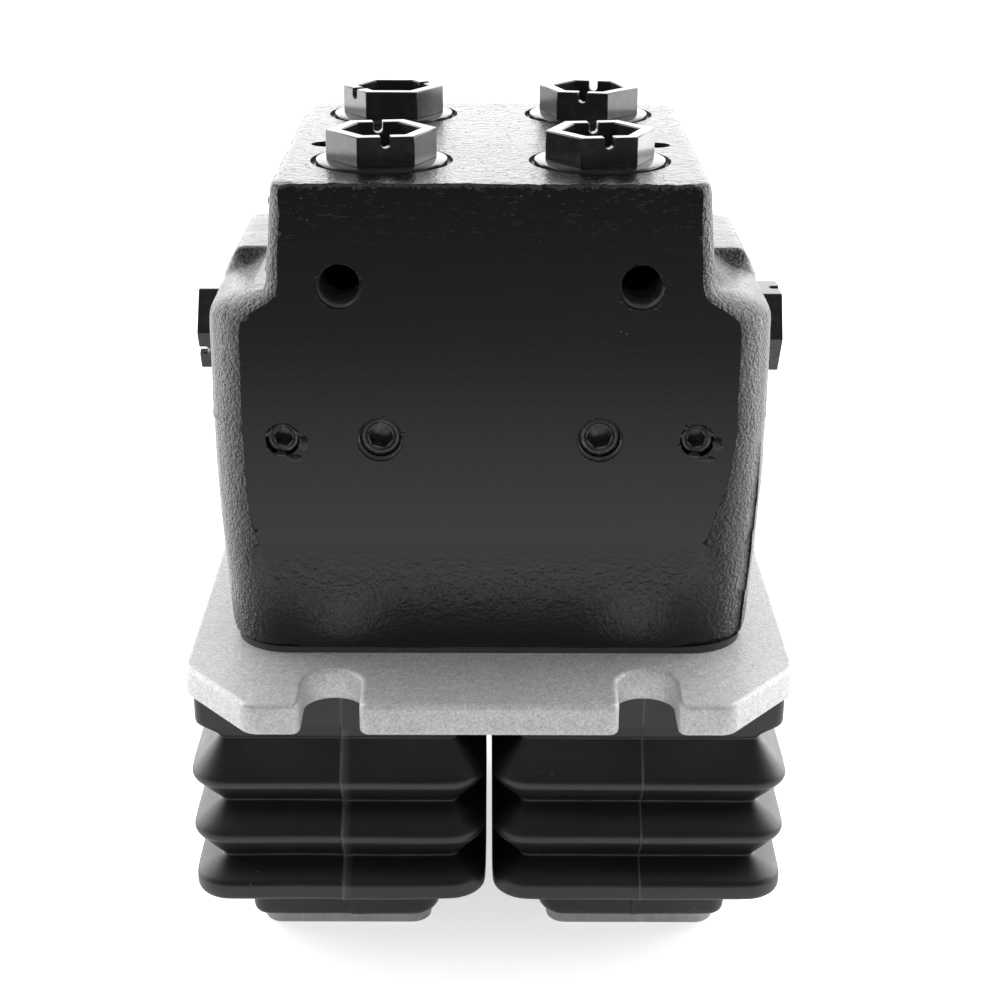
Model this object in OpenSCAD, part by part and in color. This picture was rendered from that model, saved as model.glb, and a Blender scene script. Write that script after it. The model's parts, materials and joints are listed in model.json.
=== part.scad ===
// Double foot-pedal hydraulic pilot valve, standing on its two pedal pads.
// The pads face down, the bellows and the flange plate are above them, and
// the casting with its ports is on top. Millimetres, Z up, X across the valve,
// origin in the middle of the ground that the pads stand on.

/* [Stations] */
// Distance between the two pedal rockers, across the valve
pedal_pitch = 75; // [72:0.5:90]
// Distance from the rocker pivot to each push rod, along the pedal
rod_reach = 27; // [26:0.5:30]
// Height of the rocker pivot above the pedal pad faces
pivot_z = 52; // [50:0.5:54]
// Greatest tilt of a rocker each way, in degrees
tilt_limit = 12; // [6:1:12]

/* [Casting] */
// Height of the casting
body_h = 116; // [114:1:140]
// Width of the casting below its shoulders
body_w = 135; // [130:1:164]
// Width of the machined front face
face_w = 116; // [106:1:120]
// Wall between the front flange screws and the front face
front_wall = 12.2; // [8:0.1:18]
// Wall between the back flange screws and the back face
back_wall = 4.5; // [3:0.1:12]
// Width of the upper block at the top
top_w = 99; // [96:1:110]
// Width of the upper block where it meets the shoulders
neck_w = 102.6; // [100:0.2:112]
// Drop from the top face to the shoulders
shoulder_drop = 32; // [29:1:36]
// Drop from the top face to the parting line of the casting
parting_drop = 58.7; // [50:0.1:60]
// How far each side wall leans in between the parting line and the base
side_draft = 4; // [1:0.5:6]
// How far the back leans in near the base
end_draft = 3; // [1:0.5:3.5]
// Length of the side port bosses, along the pedals
boss_l = 42; // [40:1:46]
// Drop from the top face to the top of the side port bosses
boss_drop = 26; // [22:1:28]

/* [Ports] */
// Distance between the top ports, across the valve
port_pitch_x = 52; // [47:0.5:61]
// Distance between the top ports, along the pedals
port_pitch_y = 62.8; // [60:0.2:66]
// Diameter of the port threads, at the bore wall
port_d = 21; // [16:0.5:21.5]
// Depth of the port threads
port_depth = 16; // [13:0.5:17]
// Diameter of the flat seat around each top port
spotface_d = 34; // [32:0.5:36]
// Depth of the flat seat around each top port
spotface_depth = 1; // [0.5:0.1:1.5]
// Distance between the faces of the two side ports
side_port_span = 137; // [136:0.5:168]
// Drop from the top face to the side ports
side_port_drop = 51.2; // [48:0.1:53]
// Distance of the side ports behind the centre line of the top ports
side_port_back = 6; // [0:0.5:8]
// Distance across the flats of the top port plugs
plug_af = 23; // [19:0.5:26]
// Distance across the flats of the side port plugs
side_plug_af = 21; // [19:0.5:26]
// Distance across the flats of the socket in a port plug
plug_socket_af = 16.6; // [12:0.2:17]
// Height of a plug's hexagon above its flange
plug_hex_h = 7; // [5:0.1:10]
// Diameter of a plug's flange
plug_flange_d = 31.4; // [29.5:0.1:31.6]

/* [Tapped holes] */
// Distance between the tapped holes in the front face
front_hole_pitch = 70; // [64:0.5:76]
// Drop from the top face to the tapped holes in the front face
front_hole_drop = 24; // [22:0.5:25]
// Core diameter of the tapped holes in the front face
front_hole_d = 10.2; // [8:0.1:10.5]
// Depth of the tapped holes in the front face
front_hole_depth = 20; // [12:1:21]
// Distance between the tapped holes in the top face
top_hole_pitch = 82; // [79:0.5:84]
// Distance of the top tapped holes in front of the port centre line
top_hole_fwd = 12; // [8:0.5:12.5]
// Core diameter of the tapped holes in the top face
top_hole_d = 6.8; // [5:0.1:8.5]
// Depth of the tapped holes in the top face
top_hole_depth = 15; // [10:1:16]
// Distance between the inner gallery plugs
inner_plug_pitch = 52; // [50:0.5:56]
// Distance between the outer gallery plugs
outer_plug_pitch = 98; // [94:0.5:100]
// Drop from the top face to the gallery plugs
gallery_drop = 61.2; // [58:0.1:63]

/* [Flange plate] */
// Thickness of the flange plate
plate_t = 8; // [6:0.5:12]
// How far the flange plate reaches past the bellows on each side
plate_margin = 0.2; // [0:0.1:15]
// How far each cut corner runs along the plate's ends
corner_x = 17.5; // [10:0.5:20]
// How far each cut corner runs along the plate's sides
corner_y = 21.6; // [12:0.1:24]
// Width of the open mounting slots
slot_w = 14; // [10:0.5:17]
// Distance from the plate's edge to the centre of a slot's round end
slot_mouth = 12.2; // [9:0.1:16]
// Thickness of the gasket between the plate and the casting
gasket_t = 1.2; // [0.8:0.1:2]

/* [Bellows] */
// Distance from the pedal pad faces to the underside of the flange plate
boot_space = 75.5; // [74:0.5:92]
// Gap between the two bellows
boot_gap = 1.4; // [1:0.1:4]
// Length of a bellows over its folds
boot_l = 143; // [132:1:172]
// Number of folds
fold_count = 3; // [2:1:4]
// Depth of a fold
fold_depth = 7; // [4:0.5:8]
// Rubber thickness
boot_wall = 2; // [1.2:0.1:2.4]
// Height of the straight collar under the plate
collar_h = 7.9; // [6:0.1:10]
// Height of the neck above the ground
neck_top = 20; // [16:0.5:22]

/* [Rocker] */
// Width of the pedal pad
pad_w = 44.4; // [40:0.2:46]
// Length of the pedal pad
pad_l = 97.2; // [80:0.2:118]
// Thickness of the pedal pad
pad_t = 12; // [10.5:0.5:13]
// Bare height of the pad below the bellows
pad_bare = 4; // [1.5:0.1:5]
// Distance between the tapped holes in a pedal pad
pad_hole_pitch = 50; // [40:1:60]
// Core diameter of the tapped holes in a pedal pad
pad_hole_d = 8.5; // [6:0.1:10]
// Diameter of the pivot shaft
shaft_d = 14; // [11:0.5:17]
// Diameter of the push rods
rod_d = 10; // [8:0.5:10]
// Spool stroke from neutral
spool_stroke = 2.5; // [1:0.1:3]

/* [Hidden] */
$fn = 64;

// Clearances: play is a loose fit, run a running fit and grip a fixed one.
play = 0.3;
run = 0.04;
thread_gap = 0.1;
grip = 0.01;
over = 1;

// Heights of the main faces.
plate_z = boot_space;
gasket_z = plate_z + plate_t;
body_z = gasket_z + gasket_t;
top_z = body_z + body_h;
shoulder_z = top_z - shoulder_drop;
parting_z = top_z - parting_drop;
boss_z = top_z - boss_drop;
face_end_z = body_z + 21.5;
lean_z = body_z + 39;
side_port_z = top_z - side_port_drop;
front_hole_z = top_z - front_hole_drop;
gallery_z = top_z - gallery_drop;

// Plan sizes that follow the driving ones.
rocker_x = pedal_pitch / 2;
side_face = body_w / 2;
side_port_face = side_port_span / 2 - spotface_depth;
corner_run = 18.7;
base_face = face_w / 2 - 8;
base_side = side_face - side_draft;
base_run = 14.7;
neck_rise = 8;
slice = 0.01;

// Bores of one station, from the plate upwards.
bush_r = 12;
bush_l = 13.5;
bush_top = gasket_z + bush_l;
chamber_r = 10.5;
chamber_top = gallery_z - 8;
spool_r = 4.97;
spool_bore_r = spool_r + run;
spool_head_r = 6.5;
spool_head_z = chamber_top - 12;
spool_head_t = 3;
spool_l = 48;
spool_top = spool_head_z + spool_l;
bore_top = spool_top + spool_stroke + 1.5;
groove_h = 6;

// The push rod and the seat on its inner end.
rod_r = rod_d / 2;
rod_tip_z = plate_z - 8;
seat_z = bush_top + rod_reach * sin(tilt_limit) + over;
seat_t = 4;
seat_r = 9.2;
seat_boss_r = 3.9;

// The springs.
return_r = 8.3;
return_wire_r = 0.8;
metering_r = 4.9;
metering_wire_r = 0.7;

// The rocker and its pivot.
bush_wall = 2;
hub_r = shaft_d / 2 + bush_wall + 4.5;
hub_w = 30;
arm_w = 22;
arm_t = 10;
arm_end = 8;
arm_z = pivot_z - arm_t / 2;
web_w = 26;
web_l = 30;
ear_gap = 1;
ear_t = 7;
ear_half = shaft_d / 2 + 4;
ear_x = hub_w / 2 + ear_gap + ear_t / 2;
set_screw_r = 2.5;
adjuster_r = 4;
nut_t = 5;
pad_corner = 5;

// The bellows: corner radii and the levels of its creases.
boot_w = pedal_pitch - boot_gap;
boot_corner = 9;
collar_inset_x = 1.4;
collar_inset_y = 6;
crease_top = plate_z - collar_h - 4.2;
fold_pitch = (crease_top - neck_top + 2.8) / fold_count;
rim_wall = 2.5;
rim_h = collar_h - 0.5;

// The flange plate, which clears the bellows collars at its slots.
slot_y = boot_l / 2 - collar_inset_y + slot_w / 2 + 1.8;
plate_w = pedal_pitch + boot_w + 2 * plate_margin;
plate_l = 2 * (slot_y + slot_mouth);

// Fasteners of the flange plate, beside the bushes and inside the bellows.
flange_screw_r = 3;
flange_head_r = 5;
flange_head_h = 6;
flange_screw_l = 16;
flange_screw_y = rod_reach + bush_r + flange_screw_r + 1.5;
body_front = flange_screw_y + flange_screw_r + front_wall;
body_back = flange_screw_y + flange_screw_r + back_wall;

// Turn of each top plug: front left, front right, back left, back right.
plug_turns = [8, 8, -60, -11];
side_plug_turns = [-26, 92];
plug_flange_t = 1.5;
plug_slot_w = 2.2;
plug_slot_h = 2.7;
plug_thread_l = port_depth - 4;
plug_socket_z = 4;
plug_wall = 2.5;

// Socket plugs in the front ends of the galleries.
inner_plug_d = 10.2;
outer_plug_d = 7.8;

// Nameplate on the left of the upper block.
label_l = 30;
label_h = 22;
label_t = 0.6;
label_front = 22;
rivet_r = 1.4;

module at_rockers() {
    for (x = [-rocker_x, rocker_x]) translate([x, 0, 0]) children();
}

module at_stations() {
    for (x = [-rocker_x, rocker_x]) for (y = [-rod_reach, rod_reach]) translate([x, y, 0]) children();
}

module at_ports() {
    for (x = [-port_pitch_x / 2, port_pitch_x / 2]) for (y = [-port_pitch_y / 2, port_pitch_y / 2])
        translate([x, y, top_z - spotface_depth]) children();
}

// Lays a piece that was drawn along +Z along the outward X axis of a side port.
module at_side_port(side) {
    translate([side * side_port_face, side_port_back, side_port_z]) rotate([0, 90 * side, 0]) children();
}

module tube(outer_r, inner_r, height) {
    difference() {
        cylinder(r = outer_r, h = height);
        translate([0, 0, -over]) cylinder(r = inner_r, h = height + 2 * over);
    }
}

module ring(mean_r, section_r) {
    rotate_extrude() translate([mean_r, 0]) circle(r = section_r, $fn = 24);
}

module rounded_block(width, length, height, corner) {
    linear_extrude(height) {
        square([width - 2 * corner, length], center = true);
        square([width, length - 2 * corner], center = true);
        for (x = [-1, 1]) for (y = [-1, 1])
            translate([x * (width / 2 - corner), y * (length / 2 - corner)]) circle(r = corner);
    }
}

// Plan of the casting: flat front and sides, with a corner in two steps that
// lies on the ellipse from the front face to the side.
function casting_plan(face, side, front, back, run_y) = let (
    bulge_x = face + (side - face) * sin(45),
    bulge_y = run_y * (1 - cos(45))
) [
    [-face, -front], [face, -front], [bulge_x, bulge_y - front], [side, run_y - front],
    [side, back - run_y], [bulge_x, back - bulge_y], [face, back],
    [-face, back], [-bulge_x, back - bulge_y], [-side, back - run_y],
    [-side, run_y - front], [-bulge_x, bulge_y - front]
];

module casting_slice(z, face, side, front, back, run_y) {
    translate([0, 0, z]) linear_extrude(slice) polygon(casting_plan(face, side, front, back, run_y));
}

module casting_blank() {
    face = face_w / 2;
    hull() {
        casting_slice(body_z, base_face, base_side, body_front, body_back - end_draft, base_run);
        casting_slice(face_end_z, base_face + 4, side_face - side_draft / 2, body_front, body_back - 1,
            corner_run - 2);
        casting_slice(lean_z, face, side_face - 1, body_front, body_back, corner_run);
        casting_slice(parting_z, face, side_face, body_front, body_back, corner_run);
    }
    hull() {
        casting_slice(parting_z, face, side_face, body_front, body_back, corner_run);
        casting_slice(shoulder_z - 4, face, side_face, body_front, body_back, corner_run);
        casting_slice(shoulder_z, face - 5, side_face - 4, body_front, body_back, corner_run);
    }
    hull() {
        casting_slice(parting_z, neck_w / 2 - 2, neck_w / 2, body_front, body_back, 3);
        casting_slice(shoulder_z + neck_rise, neck_w / 2 - 2, neck_w / 2, body_front, body_back, 3);
        casting_slice(top_z - slice, top_w / 2 - 2, top_w / 2, body_front, body_back - 1, 3);
    }
    hull() translate([0, side_port_back - boss_l / 2, parting_z]) {
        translate([-side_face, 0, 0]) cube([body_w, boss_l, slice]);
        translate([-side_face, 0, 0]) cube([body_w, boss_l, boss_z - parting_z - 8]);
        translate([4 - side_face, 2, 0]) cube([body_w - 8, boss_l - 4, boss_z - parting_z]);
    }
    for (side = [-1, 1]) {
        at_side_port(side) translate([0, 0, side_face - side_port_span / 2 - 4])
            cylinder(d = spotface_d + 2, h = side_port_span / 2 - side_face + 4 + spotface_depth);
    }
}

// A threaded port with its chamfered mouth, cut downwards from z = 0.
module port_cut() {
    translate([0, 0, -port_depth]) cylinder(d = port_d, h = port_depth + over);
    translate([0, 0, -2.6]) cylinder(r1 = port_d / 2, r2 = port_d / 2 + 3.5, h = 2.6);
}

module station_cut() {
    translate([0, 0, body_z - over]) cylinder(r = bush_r + grip, h = bush_top - body_z + over);
    translate([0, 0, bush_top - slice]) cylinder(r = chamber_r, h = chamber_top - bush_top + slice);
    translate([0, 0, chamber_top - slice]) cylinder(r = spool_bore_r, h = bore_top - chamber_top);
    translate([0, 0, gallery_z - groove_h / 2]) cylinder(r = 7.5, h = groove_h);
}

module drill_y(x, z, radius, back_end) {
    translate([x, over - body_front, z]) rotate([-90, 0, 0])
        cylinder(r = radius, h = body_front - over + back_end);
}

module drill_x(low_x, high_x, y, z, radius) {
    translate([low_x, y, z]) rotate([0, 90, 0]) cylinder(r = radius, h = high_x - low_x);
}

// Drillings: each spool to its top port, the inner galleries to the left side
// port, and the spring chambers through the outer galleries to the right one.
module gallery_cut() {
    port_x = port_pitch_x / 2;
    port_y = port_pitch_y / 2;
    inner_x = inner_plug_pitch / 2;
    outer_x = outer_plug_pitch / 2;
    bottom_x = side_port_face - port_depth;
    link_z = spool_top - 4;
    for (side = [-1, 1]) {
        for (end = [-1, 1]) {
            translate([side * port_x, end * port_y, link_z - 3])
                cylinder(r = 3.5, h = top_z - port_depth - link_z + 3);
            mirror([side < 0 ? 1 : 0, 0, 0]) {
                drill_x(port_x, rocker_x, end * (rod_reach + 2), link_z, 2.5);
                drill_x(inner_x, rocker_x, end * rod_reach, gallery_z, 2.5);
            }
            translate([side * (rocker_x + chamber_r - 1), end * rod_reach, chamber_top - over])
                cylinder(r = 1.5, h = gallery_z - chamber_top + over);
        }
        drill_y(side * inner_x, gallery_z, 3, rod_reach + 4);
        drill_y(side * outer_x, gallery_z, 2, rod_reach + 3);
        translate([side * inner_x, side_port_back, gallery_z]) cylinder(r = 3, h = side_port_z - gallery_z);
    }
    drill_x(-bottom_x - over, inner_x + 3, side_port_back, side_port_z, 4);
    drill_x(outer_x - 2, bottom_x + over, side_port_back, side_port_z, 3);
    translate([outer_x, side_port_back, gallery_z]) cylinder(r = 2.5, h = side_port_z - gallery_z);
    drill_x(-rocker_x, rocker_x, -rod_reach, (bush_top + chamber_top) / 2, 4);
}

module front_cut(x, z, diameter, depth) {
    translate([x, -body_front - over, z]) rotate([-90, 0, 0]) cylinder(d = diameter, h = depth + over);
}

module valve_body() {
    color([0.09, 0.09, 0.1]) difference() {
        casting_blank();
        at_stations() station_cut();
        gallery_cut();
        at_ports() {
            cylinder(d = spotface_d, h = spotface_depth + over);
            port_cut();
        }
        for (side = [-1, 1]) {
            at_side_port(side) {
                cylinder(d = spotface_d, h = spotface_depth + over);
                port_cut();
            }
            front_cut(side * front_hole_pitch / 2, front_hole_z, front_hole_d, front_hole_depth);
            front_cut(side * inner_plug_pitch / 2, gallery_z, inner_plug_d, 12);
            front_cut(side * outer_plug_pitch / 2, gallery_z, outer_plug_d, 10);
            translate([side * top_hole_pitch / 2, -top_hole_fwd, top_z - top_hole_depth])
                cylinder(d = top_hole_d, h = top_hole_depth + over);
            for (end = [-1, 1]) translate([side * rocker_x, end * flange_screw_y, body_z - over])
                cylinder(r = flange_screw_r + run, h = flange_screw_l);
        }
    }
}

module body_gasket() {
    color([0.12, 0.12, 0.12]) difference() {
        translate([0, 0, gasket_z]) linear_extrude(gasket_t)
            polygon(casting_plan(base_face, base_side, body_front, body_back - end_draft, base_run));
        at_stations() translate([0, 0, gasket_z - over])
            cylinder(r = bush_r + play, h = gasket_t + 2 * over);
        for (x = [-1, 1]) for (y = [-1, 1]) translate([x * rocker_x, y * flange_screw_y, gasket_z - over])
            cylinder(r = flange_screw_r + play, h = gasket_t + 2 * over);
    }
}

module plate_outline() {
    half_w = plate_w / 2;
    half_l = plate_l / 2;
    polygon([
        [corner_x - half_w, -half_l], [half_w - corner_x, -half_l], [half_w, corner_y - half_l],
        [half_w, half_l - corner_y], [half_w - corner_x, half_l], [corner_x - half_w, half_l],
        [-half_w, half_l - corner_y], [-half_w, corner_y - half_l]
    ]);
}

// Rim under the plate that the bellows collar stretches over.
module collar_rim() {
    width = boot_w - 2 * (collar_inset_x + boot_wall + play);
    length = boot_l - 2 * (collar_inset_y + boot_wall + play);
    translate([0, 0, plate_z - rim_h]) difference() {
        rounded_block(width, length, rim_h + over, boot_corner - boot_wall);
        translate([0, 0, -over])
            rounded_block(width - 2 * rim_wall, length - 2 * rim_wall, rim_h + 3 * over,
                boot_corner - boot_wall - rim_wall);
    }
}

module pivot_ears() {
    for (side = [-1, 1]) translate([side * ear_x, 0, 0]) {
        translate([-ear_t / 2, -ear_half, pivot_z]) cube([ear_t, 2 * ear_half, plate_z - pivot_z + over]);
        translate([-ear_t / 2, 0, pivot_z]) rotate([0, 90, 0]) cylinder(r = ear_half, h = ear_t);
    }
}

module flange_plate() {
    color([0.72, 0.73, 0.74]) difference() {
        union() {
            translate([0, 0, plate_z]) linear_extrude(plate_t) plate_outline();
            at_rockers() {
                collar_rim();
                pivot_ears();
            }
        }
        for (x = [-1, 1]) for (y = [-1, 1]) {
            translate([x * rocker_x, y * slot_y, plate_z - over]) {
                cylinder(d = slot_w, h = plate_t + 2 * over);
                translate([-slot_w / 2, y > 0 ? 0 : -slot_mouth - over, 0])
                    cube([slot_w, slot_mouth + over, plate_t + 2 * over]);
            }
            translate([x * rocker_x, y * flange_screw_y, plate_z - over])
                cylinder(r = flange_screw_r + play, h = plate_t + 2 * over);
        }
        at_stations() translate([0, 0, plate_z - over]) cylinder(r = rod_r + 1.5, h = plate_t + 2 * over);
        at_rockers() {
            translate([-hub_w, 0, pivot_z]) rotate([0, 90, 0])
                cylinder(d = shaft_d + 2 * grip, h = 2 * hub_w);
            for (side = [-1, 1]) translate([side * ear_x, 0, pivot_z - ear_half - over])
                cylinder(r = set_screw_r + grip, h = ear_half);
        }
    }
}

module flange_screws() {
    color([0.3, 0.3, 0.32]) for (x = [-1, 1]) for (y = [-1, 1])
        translate([x * rocker_x, y * flange_screw_y, plate_z]) difference() {
            union() {
                translate([0, 0, -flange_head_h]) cylinder(r = flange_head_r, h = flange_head_h);
                cylinder(r = flange_screw_r, h = plate_t + gasket_t + flange_screw_l - 3);
            }
            translate([0, 0, -flange_head_h - over]) cylinder(d = 6 / cos(30), h = 4 + over, $fn = 6);
        }
}

// Hollow hexagon plug for a port, with its seat at z = 0 and its head upwards.
module port_plug(turn, across_flats) {
    top = plug_flange_t + plug_hex_h;
    notch_z = top - plug_slot_h + plug_slot_w / 2;
    thread_r = port_d / 2 - thread_gap;
    rotate([0, 0, turn]) difference() {
        union() {
            cylinder(d = plug_flange_d, h = plug_flange_t);
            cylinder(d = across_flats / cos(30), h = top, $fn = 6);
            translate([0, 0, -plug_thread_l]) cylinder(r = thread_r, h = plug_thread_l + slice);
        }
        translate([0, 0, -plug_socket_z])
            cylinder(d = plug_socket_af / cos(30), h = top + plug_socket_z + over, $fn = 6);
        translate([0, 0, -plug_thread_l - over])
            cylinder(r = thread_r - plug_wall, h = plug_thread_l + over - plug_socket_z - plug_wall);
        translate([0, across_flats, notch_z]) rotate([90, 0, 0])
            cylinder(d = plug_slot_w, h = 2 * across_flats, $fn = 24);
        translate([-plug_slot_w / 2, -across_flats, notch_z])
            cube([plug_slot_w, 2 * across_flats, plug_slot_h]);
    }
}

module plug_seal() {
    translate([0, 0, -0.7]) ring(port_d / 2 + 0.85, 0.62);
}

// Plugs 0 to 3 are front left, front right, back left and back right.
module top_port_plug(i) {
    x = (i % 2 - 0.5) * port_pitch_x;
    y = (floor(i / 2) - 0.5) * port_pitch_y;
    color([0.16, 0.16, 0.17]) translate([x, y, top_z - spotface_depth]) port_plug(plug_turns[i], plug_af);
}

module port_plug_seals() {
    color([0.05, 0.05, 0.05]) at_ports() plug_seal();
}

module side_port_plug(i) {
    color([0.16, 0.16, 0.17]) at_side_port(2 * i - 1)
        port_plug(side_plug_turns[i], side_plug_af);
}

module side_plug_seals() {
    color([0.05, 0.05, 0.05]) for (side = [-1, 1]) at_side_port(side) plug_seal();
}

// Socket plug drawn along +Y behind the front face.
module socket_plug(x, diameter, set_back, length, socket_af) {
    translate([x, set_back - body_front, gallery_z]) rotate([-90, 0, 0]) difference() {
        cylinder(d = diameter - 2 * thread_gap, h = length);
        translate([0, 0, -over]) cylinder(d = socket_af / cos(30), h = 4.5 + over, $fn = 6);
    }
}

module inner_gallery_plugs() {
    color([0.2, 0.2, 0.2]) for (side = [-1, 1])
        socket_plug(side * inner_plug_pitch / 2, inner_plug_d, 2.4, 8, 5);
}

module outer_gallery_plugs() {
    color([0.2, 0.2, 0.2]) for (side = [-1, 1])
        socket_plug(side * outer_plug_pitch / 2, outer_plug_d, 1.2, 7, 4);
}

// The upper block's left wall leans, so the label leans with it.
label_lean = atan((neck_w - top_w) / 2 / (shoulder_drop - neck_rise));

module on_label() {
    translate([-top_w / 2, 0, top_z]) rotate([0, label_lean, 0])
        translate([0, 0, -label_h / 2 - 3]) children();
}

module nameplate() {
    color([0.8, 0.8, 0.8]) on_label()
        translate([-label_t - run, -label_front - label_l, -label_h / 2]) cube([label_t, label_l, label_h]);
}

module nameplate_rivets() {
    color([0.75, 0.75, 0.76]) on_label() for (y = [-label_front - 2.5, 2.5 - label_front - label_l])
        for (z = [-label_h / 2 + 3, label_h / 2 - 3])
            translate([-label_t - 2 * run, y, z]) rotate([0, -90, 0])
                cylinder(r1 = rivet_r, r2 = rivet_r / 2, h = 0.8);
}

module guide_bushes() {
    color([0.55, 0.5, 0.4]) at_stations() translate([0, 0, gasket_z]) difference() {
        cylinder(r = bush_r, h = bush_l);
        translate([0, 0, -over]) cylinder(r = rod_r + run, h = bush_l + 2 * over);
        translate([0, 0, -over]) cylinder(r = rod_r + 3, h = 5 + over);
        translate([0, 0, 7]) tube(bush_r + over, bush_r - 1.8, 2.4);
    }
}

module bush_o_rings() {
    color([0.05, 0.05, 0.05]) at_stations() translate([0, 0, gasket_z + 8.2]) ring(bush_r - 0.92, 0.86);
}

module rod_seals() {
    color([0.06, 0.06, 0.06]) at_stations() translate([0, 0, gasket_z + 0.5])
        tube(rod_r + 3 - grip, rod_r + run, 4.4);
}

module pivot_shaft() {
    half = hub_w / 2 + ear_gap + ear_t;
    translate([-half, 0, pivot_z]) rotate([0, 90, 0]) cylinder(d = shaft_d, h = 2 * half);
}

module shaft_set_screws() {
    color([0.25, 0.25, 0.26]) at_rockers() for (side = [-1, 1])
        translate([side * ear_x, 0, pivot_z - ear_half]) difference() {
            cylinder(r = set_screw_r, h = ear_half - shaft_d / 2 - run);
            translate([0, 0, -over]) cylinder(d = set_screw_r / cos(30), h = over + 2, $fn = 6);
        }
}

// One level of the bellows: height, half width, half length and corner radius.
function boot_level(z, inset) = [
    z, boot_w / 2 - inset, boot_l / 2 - inset, max(boot_corner - inset / 3, 2.5)
];
function collar_level(z, skin) = [
    z, boot_w / 2 - collar_inset_x - skin, boot_l / 2 - collar_inset_y - skin, boot_corner - skin
];
function neck_level(z, grow) = [z, pad_w / 2 + play + grow, pad_l / 2 + play + grow, pad_corner + grow];
function fold_levels(skin) = [
    for (i = [0:fold_count - 1]) let (z = crease_top - i * fold_pitch) each [
        boot_level(z, fold_depth + skin),
        boot_level(z - fold_pitch * 0.46, 0.8 + skin),
        boot_level(z - fold_pitch * 0.6, skin),
        boot_level(z - fold_pitch * 0.74, 1.2 + skin)
    ]
];
function boot_side(skin, bottom) = concat(
    [collar_level(plate_z - play, skin), collar_level(plate_z - collar_h, skin)],
    fold_levels(skin),
    [neck_level(neck_top + bottom, boot_wall - skin), neck_level(pad_bare, boot_wall - skin)]
);
corner_steps = 6;
ring_size = 4 * (corner_steps + 1);
function boot_ring(level) = [
    for (q = [0:3]) for (s = [0:corner_steps])
        let (a = 90 * q + 90 * s / corner_steps, sx = (q == 0 || q == 3) ? 1 : -1, sy = q < 2 ? 1 : -1)
        [
            sx * (level[1] - level[3]) + level[3] * cos(a),
            sy * (level[2] - level[3]) + level[3] * sin(a),
            level[0]
        ]
];
function reverse(list) = [for (i = [len(list) - 1:-1:0]) list[i]];

module bellows() {
    levels = concat(boot_side(0, 0), reverse(boot_side(boot_wall, boot_wall)));
    count = len(levels);
    points = [for (level = levels) each boot_ring(level)];
    faces = [
        for (i = [0:count - 1]) for (j = [0:ring_size - 1])
            let (k = (i + 1) % count, n = (j + 1) % ring_size)
            [i * ring_size + j, i * ring_size + n, k * ring_size + n, k * ring_size + j]
    ];
    color([0.07, 0.07, 0.08]) polyhedron(points = points, faces = faces, convexity = 6);
}

module rocker() {
    color([0.62, 0.62, 0.62]) difference() {
        union() {
            rounded_block(pad_w, pad_l, pad_t, pad_corner);
            translate([-web_w / 2, -web_l / 2, pad_t - slice]) cube([web_w, web_l, pivot_z - pad_t]);
            translate([-hub_w / 2, 0, pivot_z]) rotate([0, 90, 0]) cylinder(r = hub_r, h = hub_w);
            translate([-arm_w / 2, -rod_reach - arm_end, arm_z])
                cube([arm_w, 2 * (rod_reach + arm_end), arm_t]);
        }
        translate([-hub_w, 0, pivot_z]) rotate([0, 90, 0])
            cylinder(d = shaft_d + 2 * bush_wall, h = 2 * hub_w);
        for (end = [-1, 1]) {
            translate([0, end * rod_reach, arm_z - over])
                cylinder(r = adjuster_r + run, h = arm_t + 2 * over);
            translate([0, end * pad_hole_pitch / 2, -over]) cylinder(d = pad_hole_d, h = pad_t - 2 + over);
        }
    }
}

module rocker_bushes() {
    color([0.7, 0.55, 0.3]) for (x = [-hub_w / 2, hub_w / 2 - 12])
        translate([x, 0, pivot_z]) rotate([0, 90, 0])
            tube(shaft_d / 2 + bush_wall - grip, shaft_d / 2 + run, 12);
}

// Grub screws with a round tip, which carry the rocker on the push rods.
module adjusting_screws() {
    tip_z = rod_tip_z - play;
    color([0.35, 0.35, 0.37]) for (end = [-1, 1]) translate([0, end * rod_reach, 0]) difference() {
        union() {
            translate([0, 0, arm_z - nut_t - 3])
                cylinder(r = adjuster_r, h = tip_z - 3 - arm_z + nut_t + 3);
            translate([0, 0, tip_z - 3 - slice]) cylinder(r1 = adjuster_r, r2 = 2, h = 3 + slice);
        }
        translate([0, 0, arm_z - nut_t - 3 - over]) cylinder(d = 4 / cos(30), h = 4 + over, $fn = 6);
    }
}

module lock_nuts() {
    color([0.6, 0.6, 0.62]) for (end = [-1, 1])
        translate([0, end * rod_reach, arm_z - nut_t]) difference() {
            cylinder(d = 13 / cos(30), h = nut_t, $fn = 6);
            translate([0, 0, -over]) cylinder(r = adjuster_r + run, h = nut_t + 2 * over);
        }
}

module push_rod() {
    color([0.7, 0.7, 0.72]) union() {
        translate([0, 0, rod_tip_z]) cylinder(r1 = rod_r - 1.2, r2 = rod_r, h = 1.2);
        translate([0, 0, rod_tip_z + 1.2 - slice])
            cylinder(r = rod_r, h = seat_z - rod_tip_z - 1.2 + slice);
    }
}

module spring_seat() {
    color([0.6, 0.6, 0.6]) translate([0, 0, seat_z]) union() {
        cylinder(r = seat_r, h = seat_t);
        translate([0, 0, seat_t - slice]) cylinder(r = seat_boss_r, h = 4);
    }
}

module spool() {
    color([0.75, 0.75, 0.77]) difference() {
        union() {
            translate([0, 0, spool_head_z]) cylinder(r = spool_head_r, h = spool_head_t);
            translate([0, 0, spool_head_z]) cylinder(r = spool_r, h = spool_l);
        }
        for (z = [gallery_z + 5, gallery_z + 17]) translate([0, 0, z]) tube(spool_r + over, 3.2, 4);
        translate([0, 0, spool_top - 12]) cylinder(r = 2, h = 12 + over);
    }
}

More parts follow.
